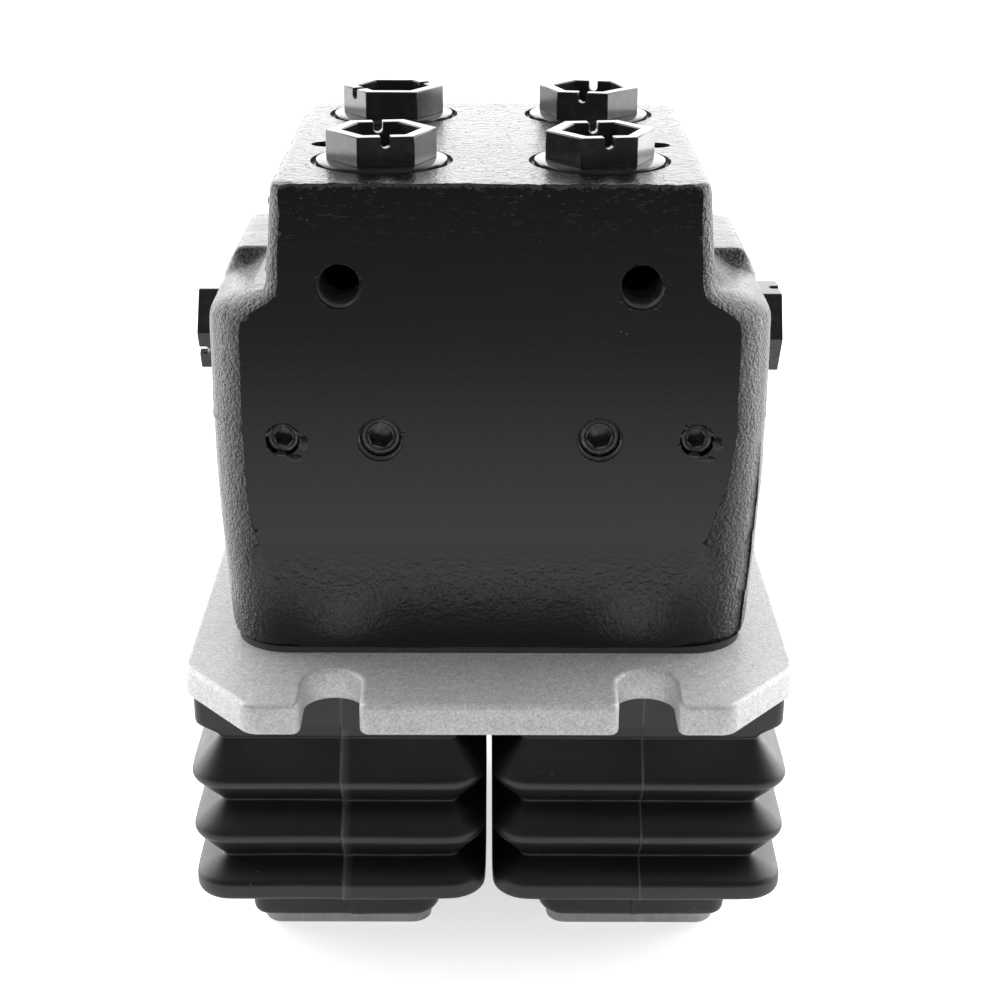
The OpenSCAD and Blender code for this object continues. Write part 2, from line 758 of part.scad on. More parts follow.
// Closed-end coil spring: rings of points along a helix, joined into a tube.
coil_sides = 6;
coil_steps = 14;
module coil_spring(mean_r, wire_r, low, high, turns) {
    rings = turns * coil_steps;
    rise = high - low - 2 * wire_r;
    points = [
        for (i = [0:rings]) let (a = 360 * i / coil_steps, z = low + wire_r + rise * i / rings)
            for (j = [0:coil_sides - 1]) let (b = 360 * j / coil_sides, r = mean_r + wire_r * cos(b))
                [r * cos(a), r * sin(a), z + wire_r * sin(b)]
    ];
    walls = [
        for (i = [0:rings - 1]) for (j = [0:coil_sides - 1]) let (n = (j + 1) % coil_sides)
            [i * coil_sides + j, i * coil_sides + n, (i + 1) * coil_sides + n, (i + 1) * coil_sides + j]
    ];
    first = [for (j = [coil_sides - 1:-1:0]) j];
    last = [for (j = [0:coil_sides - 1]) rings * coil_sides + j];
    color([0.6, 0.6, 0.62])
        polyhedron(points = points, faces = concat(walls, [first, last]), convexity = 10);
}

module return_spring() {
    coil_spring(return_r, return_wire_r, seat_z + seat_t, chamber_top, 5);
}

module metering_spring() {
    coil_spring(metering_r, metering_wire_r, seat_z + seat_t, spool_head_z, 4);
}

module left() { translate([-rocker_x, 0, 0]) children(); }
module right() { translate([rocker_x, 0, 0]) children(); }
module front_left() { translate([-rocker_x, -rod_reach, 0]) children(); }
module back_left() { translate([-rocker_x, rod_reach, 0]) children(); }
module front_right() { translate([rocker_x, -rod_reach, 0]) children(); }
module back_right() { translate([rocker_x, rod_reach, 0]) children(); }

valve_body();
body_gasket();
flange_plate();
flange_screws();
top_port_plug(0);  // port_plug_front_left
top_port_plug(1);  // port_plug_front_right
top_port_plug(2);  // port_plug_back_left
top_port_plug(3);  // port_plug_back_right
port_plug_seals();
side_port_plug(0);  // side_port_plug_left
side_port_plug(1);  // side_port_plug_right
side_plug_seals();
inner_gallery_plugs();
outer_gallery_plugs();
nameplate();
nameplate_rivets();
guide_bushes();
bush_o_rings();
rod_seals();
left() color([0.7, 0.7, 0.72]) pivot_shaft();  // pivot_shaft_left
right() color([0.7, 0.7, 0.72]) pivot_shaft();  // pivot_shaft_right
shaft_set_screws();
left() bellows();  // bellows_left
right() bellows();  // bellows_right
left() rocker();  // rocker_left
left() rocker_bushes();  // rocker_bushes_left
left() adjusting_screws();  // adjusting_screws_left
left() lock_nuts();  // lock_nuts_left
right() rocker();  // rocker_right
right() rocker_bushes();  // rocker_bushes_right
right() adjusting_screws();  // adjusting_screws_right
right() lock_nuts();  // lock_nuts_right
front_left() push_rod();  // push_rod_front_left
front_left() spring_seat();  // spring_seat_front_left
back_left() push_rod();  // push_rod_back_left
back_left() spring_seat();  // spring_seat_back_left
front_right() push_rod();  // push_rod_front_right
front_right() spring_seat();  // spring_seat_front_right
back_right() push_rod();  // push_rod_back_right
back_right() spring_seat();  // spring_seat_back_right
front_left() spool();  // spool_front_left
back_left() spool();  // spool_back_left
front_right() spool();  // spool_front_right
back_right() spool();  // spool_back_right
front_left() return_spring();  // return_spring_front_left
back_left() return_spring();  // return_spring_back_left
front_right() return_spring();  // return_spring_front_right
back_right() return_spring();  // return_spring_back_right
front_left() metering_spring();  // metering_spring_front_left
back_left() metering_spring();  // metering_spring_back_left
front_right() metering_spring();  // metering_spring_front_right
back_right() metering_spring();  // metering_spring_back_right
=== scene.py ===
# %% [markdown]
# # A double pedal valve, standing on its pedals
#
# This notebook gives a hydraulic pedal valve its looks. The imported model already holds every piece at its
# real size, and what moves. Here the pieces that show are modelled again with the softness that castings,
# rubber and blasted steel really have, and every surface gets a procedural material.

# %% Tools
import json
import math
import random

import bmesh
import bpy
from mathutils import Matrix, Vector, noise


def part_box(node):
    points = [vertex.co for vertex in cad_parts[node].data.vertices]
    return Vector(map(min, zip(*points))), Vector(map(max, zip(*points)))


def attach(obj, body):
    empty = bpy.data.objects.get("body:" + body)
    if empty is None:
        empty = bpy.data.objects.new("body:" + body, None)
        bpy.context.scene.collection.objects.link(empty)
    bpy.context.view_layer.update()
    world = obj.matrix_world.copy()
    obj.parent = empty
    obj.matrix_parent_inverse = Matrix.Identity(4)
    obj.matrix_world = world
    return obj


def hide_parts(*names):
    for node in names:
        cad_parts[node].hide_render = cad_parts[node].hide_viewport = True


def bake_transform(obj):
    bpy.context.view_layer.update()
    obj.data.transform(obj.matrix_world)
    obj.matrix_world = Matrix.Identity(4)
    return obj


# %% [markdown]
# ## The frame
#
# Everything after it is built in millimetres and is scaled once, when a piece is finished.

# %% Load the frame
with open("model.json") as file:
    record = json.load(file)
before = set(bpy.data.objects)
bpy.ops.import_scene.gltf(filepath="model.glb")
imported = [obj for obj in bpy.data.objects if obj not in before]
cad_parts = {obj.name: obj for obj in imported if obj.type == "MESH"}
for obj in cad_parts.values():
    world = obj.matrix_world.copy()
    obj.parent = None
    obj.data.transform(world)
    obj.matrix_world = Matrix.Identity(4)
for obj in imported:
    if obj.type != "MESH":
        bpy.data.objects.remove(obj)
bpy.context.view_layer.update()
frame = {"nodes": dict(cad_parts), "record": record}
MM = 0.001


def box_mm(node):
    low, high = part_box(node)
    return Vector(low) / MM, Vector(high) / MM


body_low, body_high = box_mm("valve_body")
plate_low, plate_high = box_mm("flange_plate")
base_z, top_z = body_low.z, body_high.z
front_y, back_y = body_low.y, body_high.y
print("casting from", [round(v, 1) for v in body_low], "to", [round(v, 1) for v in body_high])

# %% [markdown]
# ## Helpers
#
# A bmesh is a mesh in the making.

# %% Piece helpers
SMOOTH_ANGLE = math.radians(32)
FLAT_AREA = 14


def in_scene(name, data):
    """A new object that holds this data."""
    thing = bpy.data.objects.new(name, data)
    bpy.context.scene.collection.objects.link(thing)
    return thing


def mesh_of(name, bm):
    """The mesh that a bmesh has become; the bmesh is freed."""
    mesh = bpy.data.meshes.new(name)
    bm.to_mesh(mesh)
    bm.free()
    return mesh


def finished(name, bm, materials, body, stands_for=(), soft_below=None):
    """Edges sharper than SMOOTH_ANGLE, or between two finishes, stay crisp; soft_below keeps low ones round.

    Faces over FLAT_AREA, in square millimetres, are flat ones, so they don't take part in the smoothing.
    """
    bmesh.ops.recalc_face_normals(bm, faces=bm.faces)
    for face in bm.faces:
        face.smooth = face.calc_area() < FLAT_AREA
    for edge in bm.edges:
        sides = edge.link_faces
        if len(sides) == 2:
            two_finishes = sides[0].material_index != sides[1].material_index
            if soft_below and edge.verts[0].co.z < soft_below:
                two_finishes = False
            edge.smooth = sides[0].normal.angle(sides[1].normal, 0) < SMOOTH_ANGLE and not two_finishes
    bmesh.ops.scale(bm, vec=Vector((MM, MM, MM)), verts=bm.verts)
    piece = in_scene(name, mesh_of(name, bm))
    for material in materials:
        piece.data.materials.append(material)
    if body:
        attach(piece, body)
    if stands_for:
        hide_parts(*stands_for)
    return piece


def through_modifiers(bm, *modifiers):
    """bm after these modifiers, each (kind, settings); the object that holds them is removed again."""
    piece = in_scene("work", mesh_of("work", bm))
    for kind, settings in modifiers:
        added = piece.modifiers.new(kind.lower(), kind)
        for key, value in settings.items():
            setattr(added, key, value)
    bpy.context.view_layer.update()
    evaluated = piece.evaluated_get(bpy.context.evaluated_depsgraph_get())
    bm = bmesh.new()
    bm.from_mesh(evaluated.to_mesh())
    evaluated.to_mesh_clear()
    bpy.data.objects.remove(piece)
    return bm


def carved(bm, *cutters):
    """bm with each cutter's shape taken away, one after the other."""
    for cutter_bm in cutters:
        cutter = in_scene("cutter", mesh_of("cutter", cutter_bm))
        settings = {"operation": "DIFFERENCE", "solver": "EXACT", "object": cutter}
        bm = through_modifiers(bm, ("BOOLEAN", settings))
        bpy.data.objects.remove(cutter)
    return bm


def placed_copy(target, source, matrix):
    """Add a moved copy of one bmesh to another."""
    mesh = bpy.data.meshes.new("copy")
    source.to_mesh(mesh)
    mesh.transform(matrix)
    target.from_mesh(mesh)
    bpy.data.meshes.remove(mesh)


def rounded(bm, geom, width, segments, affect="EDGES", clamp=False):
    """Round the given edges, or with affect VERTICES the given corners, by this width."""
    bmesh.ops.bevel(bm, geom=geom, offset=width, offset_type="OFFSET", segments=segments, profile=0.5,
                    affect=affect, clamp_overlap=clamp, material=-1)


def softened(bm, width, segments, angle):
    """Round every edge that is sharper than this angle in degrees."""
    edges = [e for e in bm.edges if len(e.link_faces) == 2 and e.calc_face_angle(0) > math.radians(angle)]
    rounded(bm, edges, width, segments, clamp=True)


def upright(edge):
    """Whether an edge climbs by more than a millimetre."""
    return abs(edge.verts[0].co.z - edge.verts[1].co.z) > 1


UP = Matrix.Identity(4)
FORWARD = Matrix.Rotation(math.pi / 2, 4, "X")
SIDEWAYS = {-1: Matrix.Rotation(-math.pi / 2, 4, "Y"), 1: Matrix.Rotation(math.pi / 2, 4, "Y")}


def at(x, y, z, facing=UP, turn=0):
    """A place whose own up faces out of the work."""
    return Matrix.Translation((x, y, z)) @ facing @ Matrix.Rotation(math.radians(turn), 4, "Z")


def turned(bm, profile, place, steps=64):
    """A solid of revolution, as on a lathe: (radius, height) points, spun about the place's own axis."""
    work = bmesh.new()
    verts = [work.verts.new((radius, 0, height)) for radius, height in profile]
    edges = [work.edges.new(pair) for pair in zip(verts, verts[1:])]
    bmesh.ops.spin(work, geom=verts + edges, cent=(0, 0, 0), axis=(0, 0, 1), angle=math.tau, steps=steps,
                   use_merge=True)
    bmesh.ops.remove_doubles(work, verts=work.verts, dist=0.0001)
    bmesh.ops.recalc_face_normals(work, faces=work.faces)
    placed_copy(bm, work, place)
    work.free()


def prism(bm, sides, radius, low, high, place):
    """A straight bar with flat sides, from one height to another."""
    middle = place @ Matrix.Translation((0, 0, (low + high) / 2)) @ Matrix.Rotation(math.pi / sides, 4, "Z")
    bmesh.ops.create_cone(bm, cap_ends=True, segments=sides, radius1=radius, radius2=radius, depth=high - low,
                          matrix=middle)


def add_block(bm, low, high):
    """A box between two corners; its corner points come back."""
    low, high = Vector(low), Vector(high)
    middle = Matrix.Translation((low + high) / 2) @ Matrix.Diagonal((*(high - low), 1))
    return bmesh.ops.create_cube(bm, size=1, matrix=middle)["verts"]


print("helpers ready")

# %% [markdown]
# ## Shader maths as Python
#
# Node trees are easier to read as sums. `Value` wraps a socket, and its operators add Math nodes, so a mask
# is an expression. Any other node comes from `Shader.node`, which takes a type, its settings and its inputs.

# %% Shader class


class Value:
    """A node's output socket that can be added, multiplied and so on."""

    def __init__(self, shader, socket):
        self.shader, self.socket = shader, socket

    def maths(self, operation, first, second, clamp=False):
        settings = {"operation": operation, "use_clamp": clamp}
        return self.shader.node("ShaderNodeMath", settings, {0: first, 1: second})

    def __add__(self, other):
        return self.maths("ADD", self, other)

    def __sub__(self, other):
        return self.maths("SUBTRACT", self, other)

    def __rsub__(self, other):
        return self.maths("SUBTRACT", other, self)

    def __mul__(self, other):
        return self.maths("MULTIPLY", self, other)

    def __truediv__(self, other):
        return self.maths("DIVIDE", self, other)

    def __gt__(self, other):
        return self.maths("GREATER_THAN", self, other)

    def clamped(self):
        """The value kept between 0 and 1."""
        return self.maths("MULTIPLY", self, 1.0, clamp=True)

    __radd__, __rmul__ = __add__, __mul__


class Shader:
    """One material, with a Principled surface and short ways to add what varies over it."""

    def __init__(self, name, color, roughness, **fixed):
        self.material = bpy.data.materials.new(name)
        self.material.use_nodes = True
        self.tree = self.material.node_tree
        self.surface = self.tree.nodes["Principled BSDF"]
        self.surface.inputs["Base Color"].default_value = (*color, 1)
        self.surface.inputs["Roughness"].default_value = roughness
        for key, value in fixed.items():
            self.surface.inputs[key.replace("_", " ").title().replace("Ior", "IOR")].default_value = value
        self.place = self.node("ShaderNodeTexCoord", {}, {}, "Object")

    def node(self, kind, settings, inputs, output=0):
        """Any node: its settings, what goes into it, and which output is wanted."""
        node = self.tree.nodes.new(kind)
        for key, value in settings.items():
            if key == "stops":
                while len(node.color_ramp.elements) < len(value):
                    node.color_ramp.elements.new(0.5)
                for element, (position, level) in zip(node.color_ramp.elements, value):
                    element.position = position
                    element.color = (level, level, level, 1)
            else:
                setattr(node, key, value)
        for key, value in inputs.items():
            if isinstance(value, Value):
                self.tree.links.new(value.socket, node.inputs[key])
            else:
                node.inputs[key].default_value = value
        return Value(self, node.outputs[output])

    def noise(self, scale, detail=4.0, roughness=0.55, stretch=(1, 1, 1)):
        where = self.place
        if stretch != (1, 1, 1):
            where = self.node("ShaderNodeMapping", {}, {"Vector": where, "Scale": stretch})
        return self.node("ShaderNodeTexNoise", {}, {"Vector": where, "Scale": scale, "Detail": detail,
                                                     "Roughness": roughness}, "Fac")

    def cells(self, scale):
        """The distance to the nearest of many scattered points."""
        return self.node("ShaderNodeTexVoronoi", {}, {"Vector": self.place, "Scale": scale}, "Distance")

    def ramp(self, value, *stops):
        return self.node("ShaderNodeValToRGB", {"stops": stops}, {"Fac": value})

    def part(self, axis, vector=None):
        """The X, Y or Z of a vector, or of the surface point in metres."""
        return self.node("ShaderNodeSeparateXYZ", {}, {"Vector": vector or self.place}, axis)

    def facing(self, axis):
        """How far the surface faces along an axis."""
        return self.part(axis, self.node("ShaderNodeNewGeometry", {}, {}, "Normal"))

    def attribute(self, name):
        """A number kept at each point of the piece, 0 where the piece has none."""
        return self.node("ShaderNodeAttribute", {"attribute_name": name}, {}, "Fac")

    def ray(self, kind):
        """1 for rays of a kind, 0 for others: Camera sees the work itself, Glossy its mirror images."""
        return self.node("ShaderNodeLightPath", {}, {}, f"Is {kind} Ray")

    def mix(self, factor, first, second):
        return self.node("ShaderNodeMix", {"data_type": "RGBA"}, {"Factor": factor, 6: first, 7: second}, 2)

    def bump(self, height, strength, distance, under=None):
        inputs = {"Height": height, "Strength": strength, "Distance": distance}
        if under:
            inputs["Normal"] = under
        return self.node("ShaderNodeBump", {}, inputs)

    def feed(self, **values):
        """Join values to the surface's inputs, and give back the material."""
        for key, value in values.items():
            self.tree.links.new(value.socket, self.surface.inputs[key.replace("_", " ")])
        return self.material


def grey(level, warmth=0.0):
    return (level * (1 + warmth), level, level * (1 - warmth), 1)


print("shader class ready")

# %% [markdown]
# ## Gloss black paint over cast iron
#
# The casting is sprayed with black enamel. On the as-cast skin the paint follows the sand's grain, so it
# glitters in small facets. On the machined front it lies flat, with a faint orange peel, wiping marks and
# specks of dust. Low on the front the milling runs out and the cast skin shows through as slow ripples and
# pits. One paint does all of it: a mask made from the distance behind the milled plane, and from the height,
# says where the skin is. A thin, ragged brim of skin is left along the top edge.

# %% Paint
RUN_OUT_Z, HANDLED_Z = 0.113, 0.180  # metres: skin begins to show below the first, marks above the second
BRIM = 0.9


def black_enamel():
    paint = Shader("black_enamel", (0.004, 0.004, 0.0043), 0.12, ior=1.45)
    height = paint.part("Z")
    behind = paint.part("Y") - front_y * MM
    low = ((RUN_OUT_Z - height) / 0.012).clamped()
    skin = (behind / (low * 0.006 + 0.00005)).clamped()
    ragged = (paint.noise(700, 4, 0.6) - 0.5) * 0.004
    brim = ((height - (top_z - BRIM) * MM + ragged) / 0.0005).clamped()
    sand = (skin + low * 0.14 + brim).clamped()
    calm_top = ((0.95 - paint.facing("Z")) * 8).clamped() * 0.85 + 0.15
    grain = (paint.noise(1300, 4, 0.65) + paint.cells(950) * 0.6) * sand * calm_top
    lumps = paint.noise(420, 4, 0.6) * (skin * calm_top + brim)
    ripple = paint.noise(420, 3, 0.55, stretch=(1, 1, 1.8)) * low * (1 - skin)
    high = ((height - HANDLED_Z) / 0.02).clamped()
    marks = paint.ramp(paint.noise(420, 4, 0.6, stretch=(1, 1, 2)), (0.60, 0), (0.68, 1))
    marks = marks * (high * 0.8 + low * 0.6)
    peel = paint.noise(650, 2, 0.5)
    pits = ((0.16 - paint.cells(480)) * 30 * (paint.noise(120, 2) > 0.48)).clamped()
    pits = pits * (low + high * 0.5 + skin * 0.6)
    speck = ((0.07 - paint.cells(360)) * 30 * (paint.noise(70, 2) > 0.62 - high * 0.12)).clamped()
    speck = speck * (1 - skin)
    wiped = paint.ramp(paint.noise(80, 6, 0.7, stretch=(1, 1, 7)), (0.48, 0), (0.5, 1), (0.52, 0))
    wiped = wiped * paint.ramp(paint.noise(19), (0.5, 0), (0.7, 1)) * (1 - skin)
    cloud = paint.ramp(paint.noise(26, 5, 0.6), (0.35, 0), (0.75, 1))
    color = paint.mix(cloud * 0.6, grey(0.003), grey(0.006))
    color = paint.mix(wiped * 0.10, color, grey(0.05))
    # The pits are painted darker than the paint around them: painted shade in the dents.
    color = paint.mix(pits * 0.8, color, grey(0.001))
    color = paint.mix(speck * 0.7, color, grey(0.22))
    rough = paint.bump(grain, 0.9, 0.0008)
    rough = paint.bump(lumps, 0.5, 0.0004, rough)
    fine = paint.bump(ripple * 3.2 + marks * 0.6 + peel * 0.2 + speck - pits * 1.6, 0.5, 0.00012, rough)
    shine = cloud * 0.04 + 0.09 + skin * 0.10 + wiped * 0.06 + pits * 0.3
    return paint.feed(Base_Color=color, Roughness=shine, Normal=fine)


enamel = black_enamel()
print("paint", enamel.name)

# %% [markdown]
# ## Blasted steel, black steel, rubber and the rest
#
# Bead blasting leaves a dull, even sparkle: many tiny dents that scatter light. A metal with a high roughness
# alone looks like plastic, so the colour carries a grain under a millimetre wide, the roughness carries a
# coarser one, and both dent the surface a little.

# %% Blasted steel


def blasted_steel():
    steel = Shader("blasted_steel", (0.56, 0.56, 0.57), 0.55, metallic=0.3)
    grain = steel.noise(1500, 3, 0.7)
    coarse = steel.noise(420, 4, 0.6)
    cloud = steel.noise(24, 4, 0.55)
    pits = (0.10 - steel.cells(210)) * (steel.noise(60, 2) > 0.6)
    pitted = (pits * 18).clamped()
    tone = (grain - 0.5) * 1.1 + (coarse - 0.5) * 0.4 + (cloud - 0.5) * 0.16 + 0.5
    color = steel.mix(steel.ramp(tone, (0.2, 0), (0.8, 1)), grey(0.42), grey(0.88))
    # The pits are painted near black: painted shade in the dents.
    color = steel.mix(pitted, color, grey(0.09))
    bumps = steel.bump(grain * 0.6 + coarse * 0.7 - pitted * 3, 0.5, 0.00022)
    return steel.feed(Base_Color=color, Roughness=(coarse - 0.5) * 0.25 + 0.58, Normal=bumps)


steel_blasted = blasted_steel()

# %% [markdown]
# The shipping plugs are steel with a smooth black finish. Their facets mirror, so only a soft haze and a
# worn, lighter rub are needed.

# %% Black steel


def black_steel(name, level, roughness, wear=0.5):
    steel = Shader(name, (level, level, level), roughness, metallic=0.3)
    haze = steel.noise(130, 5, 0.6)
    fine = steel.noise(900, 3, 0.6)
    rubbed = steel.ramp(steel.noise(310, 5, 0.65), (0.5, 0), (0.78, 1))
    color = steel.mix(rubbed * wear, grey(level), grey(level * 3.2))
    return steel.feed(Base_Color=color, Roughness=haze * 0.10 + (roughness - 0.05),
                      Normal=steel.bump(fine * 0.5 + haze, 0.2, 0.00003))


plug_steel = black_steel("black_oxide", 0.030, 0.19)
socket_steel = black_steel("black_oxide_painted", 0.06, 0.2, 0.9)

# %% [markdown]
# Bellows rubber is nearly black and satin, with a grey bloom and fine dust. Its creases and its seam are
# paler: a number called crease, kept at each point of the bellows, tells the material where they are.

# %% Rubber


def bellows_rubber():
    rubber = Shader("bellows_rubber", (0.008, 0.008, 0.0085), 0.42)
    skin = rubber.noise(700, 4, 0.6)
    bloom = rubber.noise(34, 5, 0.6)
    flow = rubber.noise(60, 4, 0.6, stretch=(0.25, 0.25, 3))
    dust = ((0.07 - rubber.cells(330)) * 26 * (rubber.noise(45, 2) > 0.6)).clamped()
    tone = rubber.ramp((bloom + flow) * 0.5, (0.35, 0), (0.7, 1))
    color = rubber.mix(tone, grey(0.005, -0.02), grey(0.011, -0.02))
    # A paler line is painted along the creases and the seam.
    crease = rubber.attribute("crease") * (rubber.noise(160, 3) * 1.2 + 0.1)
    color = rubber.mix(crease.clamped(), color, grey(0.12))
    color = rubber.mix(dust, color, grey(0.22))
    return rubber.feed(Base_Color=color, Roughness=tone * 0.10 + skin * 0.1 + 0.32,
                       Normal=rubber.bump(skin + dust * 0.6, 0.3, 0.0001))


rubber = bellows_rubber()

# %% [markdown]
# The remaining finishes are for pieces that mostly stay inside. One function makes them all; the scale,
# stretch and tint of the grain differ.

# %% Inner finishes


def grained(name, level, roughness, scale, stretch=(1, 1, 1), metallic=1.0, tint=(1, 1, 1), depth=0.00004):
    metal = Shader(name, tuple(level * t for t in tint), roughness, metallic=metallic)
    grain = metal.noise(scale, 5, 0.65, stretch=stretch)
    cloud = metal.noise(scale / 14, 3)
    tone = metal.ramp(grain * 0.6 + cloud * 0.4, (0.3, 0), (0.7, 1))
    dark = (*(level * 0.72 * t for t in tint), 1)
    light = (*(min(level * 1.25, 1) * t for t in tint), 1)
    return metal.feed(Base_Color=metal.mix(tone, dark, light), Roughness=grain * 0.2 + (roughness - 0.1),
                      Normal=metal.bump(grain, 0.4, depth))


pad_metal = grained("cast_aluminium", 0.30, 0.42, 420, metallic=0.8, depth=0.0002)
finishes = {
    "ground_steel": grained("ground_steel", 0.55, 0.22, 500, stretch=(1, 1, 6)),
    "spring_steel": grained("spring_steel", 0.38, 0.32, 900),
    "bronze": grained("bronze", 0.55, 0.38, 1100, tint=(1.0, 0.72, 0.38), depth=0.00008),
    "gasket_paper": grained("gasket_paper", 0.05, 0.85, 600, metallic=0.0, depth=0.00012),
    "label_aluminium": grained("label_aluminium", 0.06, 0.30, 700, stretch=(1, 8, 1), metallic=0.3),
    "cast_aluminium": pad_metal,
    "black_oxide": plug_steel,
    "rubber": rubber,
    "blasted_steel": steel_blasted,
    "black_paint": enamel,
}
for entry in frame["record"]["subparts"]:
    coats = frame["nodes"][entry["node"]].data.materials
    coats.clear()
    coats.append(finishes[entry["material_slot"]])
print(len(finishes), "finishes on", len(frame["nodes"]), "packed nodes")

# %% [markdown]
# ## The casting, in sand
#
# A casting is a few simple volumes that flow into each other. So it is made the same way: closed convex lumps
# are placed over one another, a voxel remesh melts them into one skin, and smoothing turns every edge into a
# fillet. The lumps stand a little proud of the front face, because that face is milled off afterwards.
# Towards the base they come back to it, so there the milling only just touches the skin.

# %% Casting dimensions
PROUD = front_y - 1.5  # how far the lumps reach, in front of what is milled
NECK_HALF, TOP_HALF = 52.2, 50.4
shoulder_z = top_z - 32
parting_z = top_z - 58.7
port_z, port_y = top_z - 51.2, 6
boss_y = (port_y - 21, port_y + 21)
boss_top_z = top_z - 26
side_face = 68.5
rocker_x = 37.5
print("shoulder at", round(shoulder_z, 1), "parting line at", round(parting_z, 1))

# %% Casting lumps
CORNER_STEPS = 6


def lump(bm, slices):
    """The convex body through slices: height, half width of its face, half width, front, back, corner."""
    points = []
    for z, face, side, front, back, run in slices:
        for step in range(CORNER_STEPS + 1):
            angle = math.pi / 2 * step / CORNER_STEPS
            x = face + (side - face) * math.sin(angle)
            ease = run * (1 - math.cos(angle))
            points += [bm.verts.new((s * x, y, z)) for s in (-1, 1) for y in (front + ease, back - ease)]
    made = bmesh.ops.convex_hull(bm, input=points)
    inside = [g for g in made["geom_interior"] if isinstance(g, bmesh.types.BMVert)]
    bmesh.ops.delete(bm, geom=inside, context="VERTS")


sand = bmesh.new()
lump(sand, [
    (base_z - 0.7, 50, 64.4, front_y + 0.8, back_y - 3, 14.7),
    (base_z + 10, 51, 65.0, front_y + 0.6, back_y - 2, 15.7),
    (base_z + 18, 52, 65.8, front_y + 0.05, back_y - 1.5, 16.3),
    (base_z + 24, 52.4, 66.3, front_y - 0.4, back_y - 1, 17),
    (base_z + 40, 53.2, 67.1, front_y - 1.4, back_y, 18.7),
    (parting_z, 53.1, 67.3, PROUD, back_y, 18.7),
])
lump(sand, [
    (parting_z, 53.1, 67.4, PROUD, back_y, 18.7),
    (shoulder_z - 1, 53.1, 67.2, PROUD, back_y, 18.7),
    (shoulder_z + 2, 51.5, 63.8, PROUD, back_y, 17),
    (shoulder_z + 6, 42, 54, PROUD, back_y, 12),
])
lump(sand, [
    (parting_z, 43.4, NECK_HALF, PROUD, back_y, 6),
    (shoulder_z + 9, 43.4, NECK_HALF, PROUD, back_y, 6),
    (top_z, 42.4, TOP_HALF, PROUD, back_y - 1, 6),
])
for side in (-1, 1):
    points = []
    for z, outer, pull in ((parting_z, 67.3, 0), (boss_top_z - 6, 66.5, 0), (boss_top_z + 0.4, 64, 1)):
        ends = (boss_y[0] + pull, boss_y[1] - pull)
        points += [sand.verts.new((side * x, y, z)) for x in (30, outer) for y in ends]
    bmesh.ops.convex_hull(sand, input=points)
    port = at(side * side_face, port_y, port_z, SIDEWAYS[side])
    turned(sand, [(0, -20), (19, -20), (18.4, 0), (0, 0)], port, 48)
print(len(sand.verts), "corners in the lumps")

# %% [markdown]
# ### Melting, smoothing and grain
#
# The remesh works on a grid of about a millimetre. Smoothing a few times rounds all edges the same, so the
# places with a wider fillet get extra passes. Last comes the sand's own texture: noise moves each point along
# its normal, and a thin flash stands along the line where the mould halves met.

# %% Melt and smooth
GRID = 1.15
skin = through_modifiers(sand, ("REMESH", {"mode": "VOXEL", "voxel_size": GRID}))


def smooth_where(bm, test, passes):
    chosen = [v for v in bm.verts if test(v.co)]
    for _ in range(passes):
        bmesh.ops.smooth_vert(bm, verts=chosen, factor=0.5, use_axis_x=True, use_axis_y=True, use_axis_z=True)
    return len(chosen)


def on_shoulder(p):
    return 46 < abs(p.x) < 62 and shoulder_z < p.z < shoulder_z + 12 and not -18 < p.y < 30


WIDE_FILLET_PASSES = 8
below = smooth_where(skin, lambda p: p.z < top_z - 4, 4)
above = smooth_where(skin, lambda p: p.z >= top_z - 4, 2)
smooth_where(skin, on_shoulder, WIDE_FILLET_PASSES)
smooth_where(skin, lambda p: abs(p.x) > 47 and p.z < base_z + 44, WIDE_FILLET_PASSES)
print(below + above, "points in the skin")

# %% Sand grain


def share(value):
    """A value kept between 0 and 1."""
    return max(0, min(1, value))


skin.normal_update()
for vert in skin.verts:
    p = vert.co
    calm = 0.35 if vert.normal.z > 0.8 and p.z > top_z - 3 else 1
    rough = (noise.fractal(p * 0.4, 0.9, 2.1, 3) * 0.07 + noise.noise(p * 0.09) * 0.10) * calm
    flash = math.exp(-((p.z - parting_z) / 0.7) ** 2) * (0.28 + 0.2 * noise.noise(p * 0.2))
    if abs(vert.normal.z) > 0.5:
        flash = 0
    rim = math.exp(-((p.z - top_z) / 1.4) ** 2) if p.y < front_y + 3 else 0
    vert.co = p + vert.normal * (rough + flash + rim * noise.noise(p * 0.8) * 0.35)
# the milling bites deeper at the top edge, and less at the right corner below the parting line
for vert in skin.verts:
    p = vert.co
    if p.y < front_y + 4:
        vert.co.y -= 1.2 * share((p.z - top_z + 7) / 4) * (1 if abs(p.x) < 42 else 0.25)
    if p.y < front_y + 8 and p.x > 45:
        vert.co.y += 0.9 * min(1, (p.x - 45) / 10) * share((parting_z - p.z) / 20)
label_low, label_high = box_mm("nameplate")
print("nameplate", *(round(v, 2) for v in (*label_low, *label_high)))
AROUND = 1.5
for vert in skin.verts:
    p = vert.co
    along_label = label_low.y - AROUND < p.y < label_high.y + AROUND
    if p.x < 0 and along_label and label_low.z - AROUND < p.z < label_high.z + AROUND:
        vert.co.x = max(p.x, label_low.x + 0.45)
print("grain added, and a flat for the nameplate")

# %% [markdown]
# ### Milling and drilling
#
# `bisect_plane` marks where the milling cutter's plane meets the skin, and everything in front of it is
# pressed back onto the plane, so the front gets a flat face with a true, slightly ragged outline. Ports,
# seats and tapped holes are stepped solids of revolution, and one Boolean takes all of them away. They don't
# touch one another, because cutters that overlap in one mesh confuse the Boolean.

# %% Milling


def mill(point, normal, remove=False):
    """Mark where a plane meets the skin, and remove what is beyond it if that is wanted."""
    return bmesh.ops.bisect_plane(skin, geom=[*skin.verts, *skin.edges, *skin.faces], dist=0.02,
                                  plane_co=point, plane_no=normal, clear_outer=remove)["geom_cut"]


